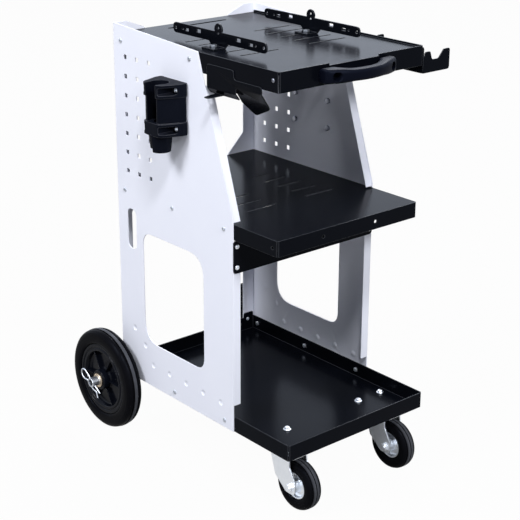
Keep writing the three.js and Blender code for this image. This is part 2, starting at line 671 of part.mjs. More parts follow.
// Each collar has a wide pocket on either side of the channel, with the screw on its floor
function screwPocket(side, z) {
  const start = CHANNEL.radius + HOLDER_INSET;
  const end = HOLDER_WIDTH / 2 - HOLDER_SCREW_INSET + POCKET.end + HOLDER_INSET;
  const span = [HOLDER_X + side * start, HOLDER_X + side * end].sort((a, b) => a - b);
  const mouth = rectangle(span[0], z - POCKET.height / 2, span[1], z + POCKET.height / 2, 2);
  return prismY(mouth, -outer - HOLDER_DEPTH - 1, -outer - POCKET.floor);
}

const pocketHeights = [HOLDER_TOP, holderBottom + HOLDER_COLLAR].map((top) => top - HOLDER_COLLAR / 2);
const screwPockets = pocketHeights.flatMap((z) => SIDES.map(([, side]) => screwPocket(side, z)));
const holderBlock = join(holderBody, ...collars, nozzle);
place('torch_holder', cut(holderBlock, bore, ...channel, ...tipCuts, ...screwPockets), blackPlastic);

// Rear axle: tube through two brackets, with a cross hole for the clip at each end
const axleZ = WHEEL_RADIUS;
const hubEnd = WHEEL_Y + HUB_HALF + FIT;
const axleHalf = hubEnd + WASHER_THICK + AXLE_END;
const clipY = axleHalf - CLIP_INSET;
const clipTilt = THREE.MathUtils.degToRad(CLIP_TILT);
const axleSegments = 12;
const crossHole = (y) => solid(rod(CLIP_WIRE + FIT, -AXLE_RADIUS * 2, AXLE_RADIUS * 2, 8)
  .rotateZ(Math.PI / 2).rotateY(clipTilt).translate(0, y, 0));
const tube = solid(ring([
  [AXLE_BORE, -axleHalf], [AXLE_RADIUS, -axleHalf], [AXLE_RADIUS, axleHalf], [AXLE_BORE, axleHalf],
], axleSegments));
const axleBody = cut(tube, crossHole(-clipY), crossHole(clipY));
place('rear_axle', axleBody.translate([AXLE_X, 0, axleZ]), zinc);

// Axle brackets: cheek with an eye, folded foot under the bottom tray
function axleBracket(side) {
  const cheekOuter = inner - BRACKET_GAP;
  const cheek = outline([
    [BRACKET_LENGTH + AXLE_X, PANEL_BOTTOM, 2], [AXLE_X - BRACKET_EYE, PANEL_BOTTOM, 12],
    [AXLE_X - BRACKET_EYE, axleZ - BRACKET_EYE, 14], [AXLE_X + BRACKET_EYE, axleZ - BRACKET_EYE, 14],
    [BRACKET_LENGTH + AXLE_X, PANEL_BOTTOM - BRACKET_THICK, 2],
  ]);
  const plate = prismY(cheek, ...spanY(side, cheekOuter - BRACKET_THICK, cheekOuter));
  const [low, high] = spanY(side, cheekOuter - BRACKET_FOOT, cheekOuter);
  const foot = prismZ(rectangle(2 * SHEET, low, BRACKET_LENGTH + AXLE_X, high, 2),
    PANEL_BOTTOM - BRACKET_THICK, PANEL_BOTTOM);
  const eyeSpan = spanY(side, cheekOuter - 2 * BRACKET_THICK, outer);
  const eye = prismY(disc(AXLE_X, axleZ, AXLE_RADIUS + FIT), ...eyeSpan, 10);
  return cut(join(plate, foot), eye);
}

// Rear wheels: ribbed rim with a hub, and a solid tyre with two tread grooves
const rimSegments = 20;
const rimProfile = mirrorProfile([
  [AXLE_RADIUS + FIT, HUB_HALF], [HUB_RADIUS, HUB_HALF], [HUB_RADIUS, WEB_HALF],
  [RIM_RADIUS - RIM_RING - 4, WEB_HALF], [RIM_RADIUS - RIM_RING, RIM_HALF], [RIM_RADIUS, RIM_HALF],
]);
const tyreProfile = mirrorProfile([
  [RIM_RADIUS, TYRE_HALF - 3], [RIM_RADIUS + 6, TYRE_HALF],
  [WHEEL_RADIUS - 9, TYRE_HALF - 1], [WHEEL_RADIUS - 4, TYRE_HALF - 4], [WHEEL_RADIUS - 2, TYRE_HALF - 8],
  [WHEEL_RADIUS - 4.5, TYRE_HALF - 9.5], [WHEEL_RADIUS - 1.5, TYRE_HALF - 11], [WHEEL_RADIUS, TYRE_HALF - 16],
]);

function rearRim() {
  const ribs = [];
  for (let index = 0; index < RIB_COUNT; index += 1) {
    const length = RIM_RADIUS - RIM_RING - HUB_RADIUS + 2 * RIB_BITE;
    const rib = new THREE.BoxGeometry(length, 2 * (RIM_HALF - RIB_BITE), RIB_THICK)
      .translate(HUB_RADIUS - RIB_BITE + length / 2, 0, 0)
      .rotateY(index * 2 * Math.PI / RIB_COUNT);
    ribs.push(solid(rib));
  }
  return join(solid(ring(rimProfile, rimSegments)), ...ribs);
}

// Hairpin clip: one straight leg through the axle, one bent leg round it, joined by a loop
function hairpin() {
  const over = AXLE_RADIUS + CLIP_WIRE + FIT;
  const path = new THREE.CatmullRomCurve3([
    [0.43, 0], [0.2, 0], [-0.2, 0], [-0.44, 0],
    [-0.53, CLIP_LOOP * 0.2], [-0.565, CLIP_LOOP * 0.55], [-0.49, CLIP_LOOP * 0.95], [-0.35, CLIP_LOOP],
    [-0.21, over + CLIP_WIRE / 3], [-0.1, over + CLIP_WIRE / 2], [0.04, over + CLIP_WIRE / 2],
    [0.18, over - CLIP_WIRE / 2], [0.29, over - 2 * CLIP_WIRE], [0.43, over + 2 * CLIP_WIRE],
  ].map(([share, drop]) => new THREE.Vector3(share * CLIP_LENGTH, 0, -drop)));
  return new THREE.ExtrudeGeometry(disc(0, 0, CLIP_WIRE), { steps: 26, extrudePath: path, curveSegments: 3 });
}

for (const [name, side] of SIDES) {
  place(`axle_bracket_${name}`, axleBracket(side), blackPaint);
  const wheel = new THREE.Group();
  wheel.name = `rear_wheel_${name}`;
  wheel.position.set(AXLE_X, side * WHEEL_Y, axleZ);
  cart.add(wheel);
  place(`rear_rim_${name}`, rearRim(), blackPlastic, wheel);
  place(`rear_tyre_${name}`, solid(ring(tyreProfile, rimSegments)), blackRubber, wheel);
  const washer = ring([
    [AXLE_RADIUS + FIT, 0], [WASHER_RADIUS, 0],
    [WASHER_RADIUS, WASHER_THICK], [AXLE_RADIUS + FIT, WASHER_THICK],
  ], axleSegments);
  const [washerLow] = spanY(side, hubEnd, hubEnd + WASHER_THICK);
  place(`axle_washer_${name}`, solid(washer).translate([AXLE_X, washerLow, axleZ]), zinc);
  const spacerEnd = WHEEL_Y - HUB_HALF - FIT;
  const [spacerLow, spacerHigh] = spanY(side, inner - BRACKET_GAP, spacerEnd);
  const spacer = ring([
    [AXLE_RADIUS + FIT, spacerLow], [WASHER_RADIUS, spacerLow],
    [WASHER_RADIUS, spacerHigh], [AXLE_RADIUS + FIT, spacerHigh],
  ], axleSegments);
  place(`wheel_spacer_${name}`, solid(spacer).translate([AXLE_X, 0, axleZ]), zinc);
  const clip = place(`hairpin_clip_${name}`, hairpin(), zinc);
  clip.position.set(AXLE_X, side * clipY, axleZ);
  clip.rotation.y = clipTilt;
}

// Casters: plate with race and king pin, fork, hub, ribbed tyre and axle bolt
const casterAxle = CASTER_RADIUS;
const casterSegments = 16;
const plateLow = PANEL_BOTTOM - CASTER_PLATE[2];
const crownLow = FORK_TOP - FORK_SHEET;
const casterTyre = mirrorProfile([
  [CASTER_HUB, CASTER_HALF - 3], [CASTER_HUB + 8, CASTER_HALF], [CASTER_RADIUS - 5, CASTER_HALF - 2],
  [CASTER_RADIUS - 1.5, CASTER_HALF - 7], [CASTER_RADIUS - 3, CASTER_HALF - 8.5],
  [CASTER_RADIUS - 0.5, CASTER_HALF - 10], [CASTER_RADIUS, CASTER_HALF - 13],
]);
const casterHub = mirrorProfile([
  [CASTER_BOLT + FIT, FORK_INSIDE - FIT], [CASTER_CORE, FORK_INSIDE - FIT], [CASTER_CORE + 1, 5],
  [CASTER_HUB - 5, 4], [CASTER_HUB - 3, CASTER_HUB_HALF], [CASTER_HUB, CASTER_HUB_HALF],
]);

function casterFork() {
  const legOuter = FORK_INSIDE + FORK_SHEET;
  const leg = outline([
    [-FORK_HALF, FORK_TOP, 4], [-FORK_HALF + 14, casterAxle + 12, 8],
    [CASTER_OFFSET - 12, casterAxle - 13, 10], [CASTER_OFFSET + 13, casterAxle - 13, 10],
    [CASTER_OFFSET + 13, casterAxle + 14, 10],
    [FORK_HALF + 2, FORK_TOP - 16, 6], [FORK_HALF, FORK_TOP, 4],
  ]);
  const legs = SIDES.map(([, side]) => prismY(leg, ...spanY(side, FORK_INSIDE, legOuter)));
  const crown = prismZ(rectangle(-FORK_HALF + 3, -legOuter, FORK_HALF - 3, legOuter, 2), crownLow, FORK_TOP);
  const lowerRace = solid(upright(rod(RACE_RADIUS - 6, FORK_TOP - 1, FORK_TOP + 4, 16)));
  const pinHole = prismZ(disc(0, 0, PIN_RADIUS + FIT), crownLow - 1, FORK_TOP + 10, 6);
  const boltHole = prismY(disc(CASTER_OFFSET, casterAxle, CASTER_BOLT + FIT), -legOuter - 1, legOuter + 1, 5);
  return cut(join(...legs, crown, lowerRace), pinHole, boltHole);
}

function casterPlate() {
  const [length, width] = CASTER_PLATE;
  const plate = prismZ(rectangle(-length / 2, -width / 2, length / 2, width / 2, 8), plateLow, PANEL_BOTTOM);
  const raceLow = FORK_TOP + 4 + FIT;
  const race = solid(upright(lathe([
    [0, raceLow], [RACE_RADIUS - 4, raceLow], [RACE_RADIUS, plateLow - 3],
    [RACE_RADIUS + 3, plateLow + 1], [0, plateLow + 1],
  ], 16)));
  const pin = solid(upright(rod(PIN_RADIUS, crownLow - HEX_HEIGHT - FIT, raceLow + 1, 16)));
  return join(plate, race, pin);
}

for (const [name, side] of SIDES) {
  const caster = new THREE.Group();
  caster.name = `caster_${name}`;
  caster.position.set(casterX, side * CASTER_Y, 0);
  cart.add(caster);
  place(`caster_plate_${name}`, casterPlate(), zinc, caster);
  const nutTop = crownLow - FIT;
  const nutBore = prismZ(disc(0, 0, PIN_RADIUS), nutTop - HEX_HEIGHT - 1, nutTop + 1, 8);
  const nut = hexagon(HEX_RADIUS + 2, nutTop - HEX_HEIGHT, nutTop);
  place(`king_nut_${name}`, cut(solid(nut), nutBore), zinc, caster);
  place(`caster_fork_${name}`, casterFork(), zinc, caster);
  const wheel = new THREE.Group();
  wheel.name = `caster_wheel_${name}`;
  wheel.position.set(CASTER_OFFSET, 0, casterAxle);
  caster.add(wheel);
  place(`caster_hub_${name}`, solid(ring(casterHub, casterSegments)), zinc, wheel);
  place(`caster_tyre_${name}`, solid(ring(casterTyre, casterSegments)), blackRubber, wheel);
  const legOuter = FORK_INSIDE + FORK_SHEET;
  const boltEnds = SIDES.map(([, end]) => new THREE.CylinderGeometry(HEX_RADIUS, HEX_RADIUS, HEX_HEIGHT, 6)
    .translate(0, end * (legOuter + HEX_HEIGHT / 2), 0));
  const shank = rod(CASTER_BOLT, -legOuter - 1, legOuter + 1, 16);
  place(`caster_axle_bolt_${name}`, join(solid(shank), ...boltEnds.map(solid)), zinc, wheel);
}

export default cart;
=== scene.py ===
import math

import bmesh
import bpy
import numpy as np
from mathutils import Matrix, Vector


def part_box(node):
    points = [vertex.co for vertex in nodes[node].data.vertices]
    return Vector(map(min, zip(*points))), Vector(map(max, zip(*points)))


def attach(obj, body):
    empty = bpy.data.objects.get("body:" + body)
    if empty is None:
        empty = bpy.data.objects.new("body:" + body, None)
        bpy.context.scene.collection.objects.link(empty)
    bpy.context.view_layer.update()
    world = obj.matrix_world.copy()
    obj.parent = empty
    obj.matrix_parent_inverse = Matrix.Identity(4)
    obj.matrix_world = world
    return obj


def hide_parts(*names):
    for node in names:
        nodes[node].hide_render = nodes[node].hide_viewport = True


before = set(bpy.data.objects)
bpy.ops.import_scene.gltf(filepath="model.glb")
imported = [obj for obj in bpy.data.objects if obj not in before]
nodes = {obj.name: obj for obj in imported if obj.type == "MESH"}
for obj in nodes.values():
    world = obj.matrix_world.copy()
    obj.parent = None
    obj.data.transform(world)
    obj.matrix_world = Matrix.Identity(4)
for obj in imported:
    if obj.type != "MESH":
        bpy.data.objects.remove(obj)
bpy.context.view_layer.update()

# Side panels
# Two folded sheets of steel, 2 mm thick, punched, dimpled and powder coated in a pale lavender white.
# Their folded edges are slightly rounded by the bending and by the thickness of the coat.
MM = 0.001
SIDES = {"right": -1, "left": 1}
PANEL_NODES = ["right_side_panel", "left_side_panel"]
PALE_COAT = (0.84, 0.86, 0.95)
PALE_SHADE = (0.80, 0.82, 0.92)
FOLD_RADIUS = 0.6 * MM
EDGE_SAMPLES = 6
SMOOTH_ANGLE = math.radians(38)
BEVEL_ANGLE = math.radians(42)
BEVEL_SEGMENTS = 3
MERGE_DISTANCE = 0.002 * MM
GRAIN_SCALES = {"Peel Scale": 700.0, "Cloud Scale": 9.0, "Dust Scale": 240.0}
PEEL_DETAIL = 1.0
CLOUD_DETAIL = 5.0
DUST_DETAIL = 3.0
DUST_RANGE = (0.66, 0.78)
PLAIN_GLOSS = 0.2
panel_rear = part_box("right_side_panel")[0].x


def at(x, y, z):
    """Millimetres forward of the panels' rear edge, left of the middle and above the floor, as a point."""
    return np.array([panel_rear + x * MM, y * MM, z * MM])


def add_node(tree, kind, **settings):
    """A new node in the tree, with the given settings."""
    made = tree.nodes.new(kind)
    for name, value in settings.items():
        setattr(made, name, value)
    return made


def make_coat_grain():
    """Orange peel of about a millimetre, slow cloudiness and sparse dust, all on Object coordinates."""
    group = bpy.data.node_groups.new("coat_grain", "ShaderNodeTree")
    for name, value in GRAIN_SCALES.items():
        socket = group.interface.new_socket(name, in_out="INPUT", socket_type="NodeSocketFloat")
        socket.default_value = value
    for name in ("Peel", "Cloud", "Dust"):
        group.interface.new_socket(name, in_out="OUTPUT", socket_type="NodeSocketFloat")
    inside = add_node(group, "NodeGroupInput")
    outside = add_node(group, "NodeGroupOutput")
    place = add_node(group, "ShaderNodeTexCoord")
    for scale, output, detail in (("Peel Scale", "Peel", PEEL_DETAIL), ("Cloud Scale", "Cloud", CLOUD_DETAIL)):
        noise = add_node(group, "ShaderNodeTexNoise")
        noise.inputs["Detail"].default_value = detail
        group.links.new(place.outputs["Object"], noise.inputs["Vector"])
        group.links.new(inside.outputs[scale], noise.inputs["Scale"])
        group.links.new(noise.outputs["Fac"], outside.inputs[output])
    specks = add_node(group, "ShaderNodeTexNoise")
    specks.inputs["Detail"].default_value = DUST_DETAIL
    threshold = add_node(group, "ShaderNodeMapRange")
    threshold.inputs["From Min"].default_value = DUST_RANGE[0]
    threshold.inputs["From Max"].default_value = DUST_RANGE[1]
    group.links.new(place.outputs["Object"], specks.inputs["Vector"])
    group.links.new(inside.outputs["Dust Scale"], specks.inputs["Scale"])
    group.links.new(specks.outputs["Fac"], threshold.inputs["Value"])
    group.links.new(threshold.outputs["Result"], outside.inputs["Dust"])
    return group


coat_grain = make_coat_grain()


def finish_material(name, light, dark, rough, rough_swing, peel, depth, peel_scale,
                    cloud_scale=GRAIN_SCALES["Cloud Scale"], gloss=PLAIN_GLOSS, tint=(1.0, 1.0, 1.0)):
    """A surface whose colour drifts between two tones with the cloud, whose roughness swings about its
    middle value with the cloud and rises with the dust, and whose normal takes the peel as a fine bump."""
    material = bpy.data.materials.new(name)
    material.use_nodes = True
    tree = material.node_tree
    surface = tree.nodes["Principled BSDF"]
    surface.inputs["Specular IOR Level"].default_value = gloss
    surface.inputs["Specular Tint"].default_value = (*tint, 1.0)
    grain = add_node(tree, "ShaderNodeGroup", node_tree=coat_grain)
    grain.inputs["Peel Scale"].default_value = peel_scale
    grain.inputs["Cloud Scale"].default_value = cloud_scale
    tone = add_node(tree, "ShaderNodeMix", data_type="RGBA")
    tone.inputs["A"].default_value = (*light, 1.0)
    tone.inputs["B"].default_value = (*dark, 1.0)
    tree.links.new(grain.outputs["Cloud"], tone.inputs["Factor"])
    tree.links.new(tone.outputs["Result"], surface.inputs["Base Color"])
    swing = add_node(tree, "ShaderNodeMapRange")
    swing.inputs["To Min"].default_value = rough - rough_swing
    swing.inputs["To Max"].default_value = rough + rough_swing
    blend = add_node(tree, "ShaderNodeMath", operation="ADD")
    tree.links.new(grain.outputs["Cloud"], swing.inputs["Value"])
    dust = add_node(tree, "ShaderNodeMath", operation="MULTIPLY")
    dust.inputs[1].default_value = rough_swing
    tree.links.new(grain.outputs["Dust"], dust.inputs[0])
    tree.links.new(swing.outputs["Result"], blend.inputs[0])
    tree.links.new(dust.outputs["Value"], blend.inputs[1])
    tree.links.new(blend.outputs["Value"], surface.inputs["Roughness"])
    bump = add_node(tree, "ShaderNodeBump")
    bump.inputs["Strength"].default_value = peel
    bump.inputs["Distance"].default_value = depth
    tree.links.new(grain.outputs["Peel"], bump.inputs["Height"])
    tree.links.new(bump.outputs["Normal"], surface.inputs["Normal"])
    return material


def make_smooth_by_angle():
    """Edges that turn by less than the limit are shaded smooth, and sharper ones stay crisp."""
    group = bpy.data.node_groups.new("smooth_by_angle", "GeometryNodeTree")
    group.interface.new_socket("Geometry", in_out="INPUT", socket_type="NodeSocketGeometry")
    group.interface.new_socket("Geometry", in_out="OUTPUT", socket_type="NodeSocketGeometry")
    inside = add_node(group, "NodeGroupInput")
    outside = add_node(group, "NodeGroupOutput")
    faces = add_node(group, "GeometryNodeSetShadeSmooth", domain="FACE")
    edges = add_node(group, "GeometryNodeSetShadeSmooth", domain="EDGE")
    angle = add_node(group, "GeometryNodeInputMeshEdgeAngle")
    gentle = add_node(group, "FunctionNodeCompare", data_type="FLOAT", operation="LESS_THAN")
    gentle.inputs["B"].default_value = SMOOTH_ANGLE
    group.links.new(inside.outputs["Geometry"], faces.inputs["Geometry"])
    group.links.new(faces.outputs["Geometry"], edges.inputs["Geometry"])
    group.links.new(angle.outputs["Unsigned Angle"], gentle.inputs["A"])
    group.links.new(gentle.outputs["Result"], edges.inputs["Shade Smooth"])
    group.links.new(edges.outputs["Geometry"], outside.inputs["Geometry"])
    return group


smooth_by_angle = make_smooth_by_angle()


def dress_node(name, material, radius=0.0, edge_highlight_material=None):
    """Gives a CAD node its finish, and shades it by live modifiers: its facets are welded, edges are
    bevelled where a radius is given, and gentle edges are smoothed. Bevels can have their own material,
    which is a lighter colour that paints a highlight along the edges."""
    part = nodes[name]
    for place in part.material_slots:
        place.material = material
    weld = part.modifiers.new("weld", "WELD")
    weld.merge_threshold = MERGE_DISTANCE
    if radius:
        rounding = part.modifiers.new("rounding", "BEVEL")
        rounding.width = radius
        rounding.segments = BEVEL_SEGMENTS
        rounding.limit_method = "ANGLE"
        rounding.angle_limit = BEVEL_ANGLE
        rounding.use_clamp_overlap = False
        if edge_highlight_material:
            part.data.materials.append(edge_highlight_material)
            rounding.material = len(part.material_slots) - 1
    shading = part.modifiers.new("shading", "NODES")
    shading.node_group = smooth_by_angle
    normals = part.modifiers.new("normals", "WEIGHTED_NORMAL")
    normals.keep_sharp = True


pale_coat = finish_material("pale_powder_coat", PALE_COAT, PALE_SHADE, rough=0.40, rough_swing=0.05,
                            peel=0.10, depth=0.2 * MM, peel_scale=800.0)
soft_edge = add_node(pale_coat.node_tree, "ShaderNodeBevel", samples=EDGE_SAMPLES)
soft_edge.inputs["Radius"].default_value = FOLD_RADIUS
pale_bump = next(node for node in pale_coat.node_tree.nodes if node.type == "BUMP")
pale_coat.node_tree.links.new(soft_edge.outputs["Normal"], pale_bump.inputs["Normal"])
for name in PANEL_NODES:
    dress_node(name, pale_coat)

# Trays, shelf and brackets
# Folded black sheet steel with a semi-gloss powder coat: the top tray, shelf, bottom tray and cross plate,
# with the hook bracket, cable hanger, clamp bars and axle brackets that are bolted to them.
BLACK_COAT = (0.0018, 0.0022, 0.0036)
BLACK_SHADE = (0.0026, 0.0033, 0.0055)
# Lighter tones for the bevels: a painted highlight along the edges, and partly edge wear.
EDGE_HIGHLIGHT_COAT = (0.026, 0.028, 0.034)
EDGE_HIGHLIGHT_DARK = (0.010, 0.011, 0.014)
BLACK_GLOSS = 0.04
COOL_TINT = (0.64, 0.74, 1.0)
TRAY_NODES = ["top_tray", "middle_shelf", "bottom_tray", "middle_cross_plate", "hook_bracket", "cable_hanger"]
SIDE_NODES = ["clamp_bar", "axle_bracket"]

black_coat = finish_material("black_powder_coat", BLACK_COAT, BLACK_SHADE, rough=0.20, rough_swing=0.03,
                             peel=0.06, depth=0.2 * MM, peel_scale=900.0, gloss=BLACK_GLOSS, tint=COOL_TINT)
# The bevels take a lighter coat, which paints a highlight along the edges and partly stands for edge wear.
edge_highlight_coat = finish_material("black_coat_painted_edge_highlight", EDGE_HIGHLIGHT_COAT, EDGE_HIGHLIGHT_DARK, rough=0.34, rough_swing=0.06,
                            peel=0.08, depth=0.2 * MM, peel_scale=900.0, cloud_scale=60.0)
for name in TRAY_NODES + [f"{name}_{side}" for name in SIDE_NODES for side in SIDES]:
    dress_node(name, black_coat, FOLD_RADIUS, edge_highlight_coat)

# Torch holder
# A moulded plastic channel, open at the front, with two collars that are screwed to the right panel.
PLASTIC = (0.0022, 0.0028, 0.005)
PLASTIC_SHADE = (0.0034, 0.0042, 0.0075)
# Lighter tones for the bevels, which paint a highlight along the moulded edges.
MOULDED_EDGE_HIGHLIGHT = (0.014, 0.015, 0.021)
MOULDED_EDGE_HIGHLIGHT_DARK = (0.006, 0.007, 0.011)
MOULDED_RADIUS = 0.9 * MM

moulded_black = finish_material("moulded_black", PLASTIC, PLASTIC_SHADE, rough=0.44, rough_swing=0.05,
                                peel=0.20, depth=0.15 * MM, peel_scale=2200.0,
                                gloss=BLACK_GLOSS, tint=COOL_TINT)
# The bevels take a lighter colour that paints a highlight along the moulded edges.
moulded_edge_highlight = finish_material("moulded_black_painted_edge_highlight", MOULDED_EDGE_HIGHLIGHT, MOULDED_EDGE_HIGHLIGHT_DARK, rough=0.36,
                               rough_swing=0.05, peel=0.12, depth=0.15 * MM, peel_scale=2200.0,
                               cloud_scale=60.0)
dress_node("torch_holder", moulded_black, MOULDED_RADIUS, moulded_edge_highlight)

# Handle
# A moulded bow grip, screwed to the front flange of the top tray through two sunk holes.
HANDLE_HALF = 86.0
HANDLE_HEIGHT = 27.0
HANDLE_MID_Z = 826.75
HANDLE_SCREW_Y = 68.0
HANDLE_SEAT = 10.0
OUTER_END = 24.0
OUTER_RISE = 22.0
OUTER_HALF = 80.0
INNER_END = 9.0
INNER_RISE = 18.0
INNER_HALF = 53.0
POST_START = 51.0
POST_BLEND = 9.0
CLOSING_START = 0.93
CLOSING_LENGTH = 0.07
CLOSED_DEPTH = 0.72
CLOSED_HEIGHT = 0.70
SLIM_HEIGHT = 0.80
SLIM_END = 0.35
SLIM_BLEND = 0.4
SECTION_POWER = 2.0 / 3.6
SINK_RADIUS = 8.2
SINK_EDGE = 1.4
SINK_FACE = 0.2
HANDLE_SMOOTH = math.radians(60)
FLANGE_X = 484.0
GRIP = (0.0018, 0.0023, 0.0052)
GRIP_SHADE = (0.0026, 0.0033, 0.0072)
HANDLE_STEPS = 260
SECTION_STEPS = 120
UNIT = np.eye(3)


def ease(value):
    """Runs smoothly from 0 to 1 as the value does: three squares less two cubes."""
    share = np.clip(value, 0.0, 1.0)
    return share * share * (3.0 - 2.0 * share)


def piece(name, grids, material, body, smooth=SMOOTH_ANGLE):
    """One closed mesh from grids of points: each cell is a quad, the columns wrap round, and points that
    fall together at poles and seams are merged."""
    points = []
    quads = []
    start = 0
    for grid in grids:
        rows, columns = grid.shape[:2]
        index = start + np.arange(rows * columns).reshape(rows, columns)
        beside = np.roll(index, -1, axis=1)
        cells = np.stack([index[:-1], beside[:-1], beside[1:], index[1:]], axis=-1)
        points.append(grid.reshape(-1, 3))
        quads.append(cells.reshape(-1, 4))
        start += rows * columns
    mesh = bpy.data.meshes.new(name)
    mesh.from_pydata(np.concatenate(points).tolist(), [], np.concatenate(quads).tolist())
    work = bmesh.new()
    work.from_mesh(mesh)
    bmesh.ops.remove_doubles(work, verts=work.verts, dist=MERGE_DISTANCE)
    bmesh.ops.dissolve_degenerate(work, edges=work.edges, dist=MERGE_DISTANCE)
    bmesh.ops.recalc_face_normals(work, faces=work.faces)
    work.to_mesh(mesh)
    work.free()
    mesh.shade_smooth()
    mesh.set_sharp_from_angle(angle=smooth)
    mesh.materials.append(material)
    made = bpy.data.objects.new(name, mesh)
    bpy.context.scene.collection.objects.link(made)
    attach(made, body)
    return made


def handle_grid():
    """Rounded sections carried along the width: each runs from the inner to the outer curve, the ends close
    as a quarter ellipse, and the outer face is pushed in round either screw."""
    width = np.sin(np.linspace(-math.pi / 2, math.pi / 2, HANDLE_STEPS)) * HANDLE_HALF
    share = np.abs(width) / HANDLE_HALF
    near_end = ((share - CLOSING_START) / CLOSING_LENGTH).clip(0.0)
    closing = np.sqrt(np.clip(1.0 - near_end**2, 0.0, 1.0))
    outer = OUTER_END + OUTER_RISE * (1.0 - (width / OUTER_HALF) ** 2)
    post = ease((np.abs(width) - POST_START) / POST_BLEND)
    hollow = INNER_END + INNER_RISE * (1.0 - (width / INNER_HALF) ** 2).clip(0.0)
    low = hollow * (1.0 - post)
    high = low + (outer - low) * (CLOSED_DEPTH + (1.0 - CLOSED_DEPTH) * closing)
    thick = SLIM_HEIGHT + (1.0 - SLIM_HEIGHT) * ease((share - SLIM_END) / SLIM_BLEND)
    tall = HANDLE_HEIGHT / 2 * thick * (CLOSED_HEIGHT + (1.0 - CLOSED_HEIGHT) * closing)
    turn = np.linspace(0.0, 2 * math.pi, SECTION_STEPS, endpoint=False)
    across = np.sign(np.cos(turn)) * np.abs(np.cos(turn)) ** SECTION_POWER
    upward = np.sign(np.sin(turn)) * np.abs(np.sin(turn)) ** SECTION_POWER
    depth = (low + high)[:, None] / 2 + (high - low)[:, None] / 2 * across
    rise = tall[:, None] * upward
    side = np.repeat(width[:, None], SECTION_STEPS, axis=1)
    radius = np.hypot(np.abs(side) - HANDLE_SCREW_Y, rise)
    sunk = ease((SINK_RADIUS - radius) / SINK_EDGE) * (across > SINK_FACE)
    depth = depth - sunk * np.clip(depth - HANDLE_SEAT, 0.0, None)
    grid = at(FLANGE_X, 0.0, HANDLE_MID_Z) + MM * np.stack([depth, side, rise], axis=-1)
    cap = grid.mean(axis=1, keepdims=True).repeat(SECTION_STEPS, axis=1)
    return np.concatenate([cap[:1], grid, cap[-1:]])


grip_black = finish_material("grip_black", GRIP, GRIP_SHADE, rough=0.40, rough_swing=0.05, peel=0.22,
                             depth=0.15 * MM, peel_scale=2400.0, gloss=BLACK_GLOSS, tint=COOL_TINT)
handle = piece("handle_grip", [handle_grid()], grip_black, "cart", HANDLE_SMOOTH)
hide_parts("handle")

# Screws and bolts
# Zinc plated pan heads with a cross recess hold the panels, trays, handle and torch holder together,
# and hexagon heads on washers hold the caster plates. Nuts and screw ends show inside the panels.
ZINC = (0.92, 0.94, 0.97)
ZINC_SHADE = (0.80, 0.83, 0.87)
DULL_ZINC = (0.62, 0.64, 0.67)
DULL_SHADE = (0.42, 0.44, 0.47)
YELLOW_ZINC = (0.70, 0.58, 0.42)
YELLOW_SHADE = (0.55, 0.44, 0.32)
DARK_ZINC = (0.34, 0.35, 0.39)
DARK_SHADE = (0.14, 0.145, 0.17)
ALONG = 0
ACROSS = 1
UPWARD = 2
OUTER_FACE = 178.5
INNER_FACE = 176.5
SCREW_STEPS = 40
DOME_STEPS = 18
DOME_RISE = 0.58
DOME_FALL = 0.72
HEAD_RIM = 0.1
HEAD_FOOT = 0.96
HEAD_SUNK = 0.2
CROSS_HALF_WIDTH = 0.19
CROSS_WIDTH_EDGE = 0.10
CROSS_HALF_LENGTH = 0.60
CROSS_LENGTH_EDGE = 0.12
CROSS_DEPTH = 0.42
HEXAGON_LINE = [(0, 1), (0.80, 1), (0.93, 0.97), (1.2, 0.80), (1.2, 0.2), (1.2, 0), (0, 0)]
HEXAGON_FLAT = 0.98
HEXAGON_STEPS = 72
WASHER_STEPS = 48
WASHER_EDGE = 0.35
ARC_SHARE = 0.48
PLATING_RADIUS = 0.4 * MM


def zinc_material(name, light, dark):
    """Metal whose plating drifts between two greys, with a fine grained bump."""
    material = finish_material(name, light, dark, rough=0.34, rough_swing=0.07, peel=0.06, depth=0.1 * MM,
                               peel_scale=1600.0, cloud_scale=60.0)
    material.node_tree.nodes["Principled BSDF"].inputs["Metallic"].default_value = 1.0
    return material


def softened(corners, radius, steps=5):
    """Replaces each inner corner of a line by a quadratic arc that starts and ends up to a radius away."""
    line = np.asarray(corners, float)
    middle = line[1:-1]
    back = line[:-2] - middle
    ahead = line[2:] - middle
    back_length = np.linalg.norm(back, axis=1, keepdims=True)
    ahead_length = np.linalg.norm(ahead, axis=1, keepdims=True)
    reach = np.minimum(radius, ARC_SHARE * np.minimum(back_length, ahead_length))
    start = middle + back / back_length * reach
    end = middle + ahead / ahead_length * reach
    share = np.linspace(0.0, 1.0, steps)[None, :, None]
    leaving = (1 - share) ** 2 * start[:, None]
    turning = 2 * share * (1 - share) * middle[:, None]
    arcs = leaving + turning + share**2 * end[:, None]
    return np.concatenate([line[:1], arcs.reshape(-1, line.shape[1]), line[-1:]])


def turned(profile, centre, axis, way=1.0, steps=96):
    """Turns a line of (radius, height) about an axis: height along it, and the radius times the cosine and
    sine of the turn across it."""
    radius, height = np.asarray(profile, float).T * MM
    turn = np.linspace(0.0, 2 * math.pi, steps, endpoint=False)
    across = UNIT[(axis + 1) % 3]
    upward = UNIT[(axis + 2) % 3]
    spin = np.cos(turn)[:, None] * across + np.sin(turn)[:, None] * upward
    return centre + way * height[:, None, None] * UNIT[axis] + radius[:, None, None] * spin


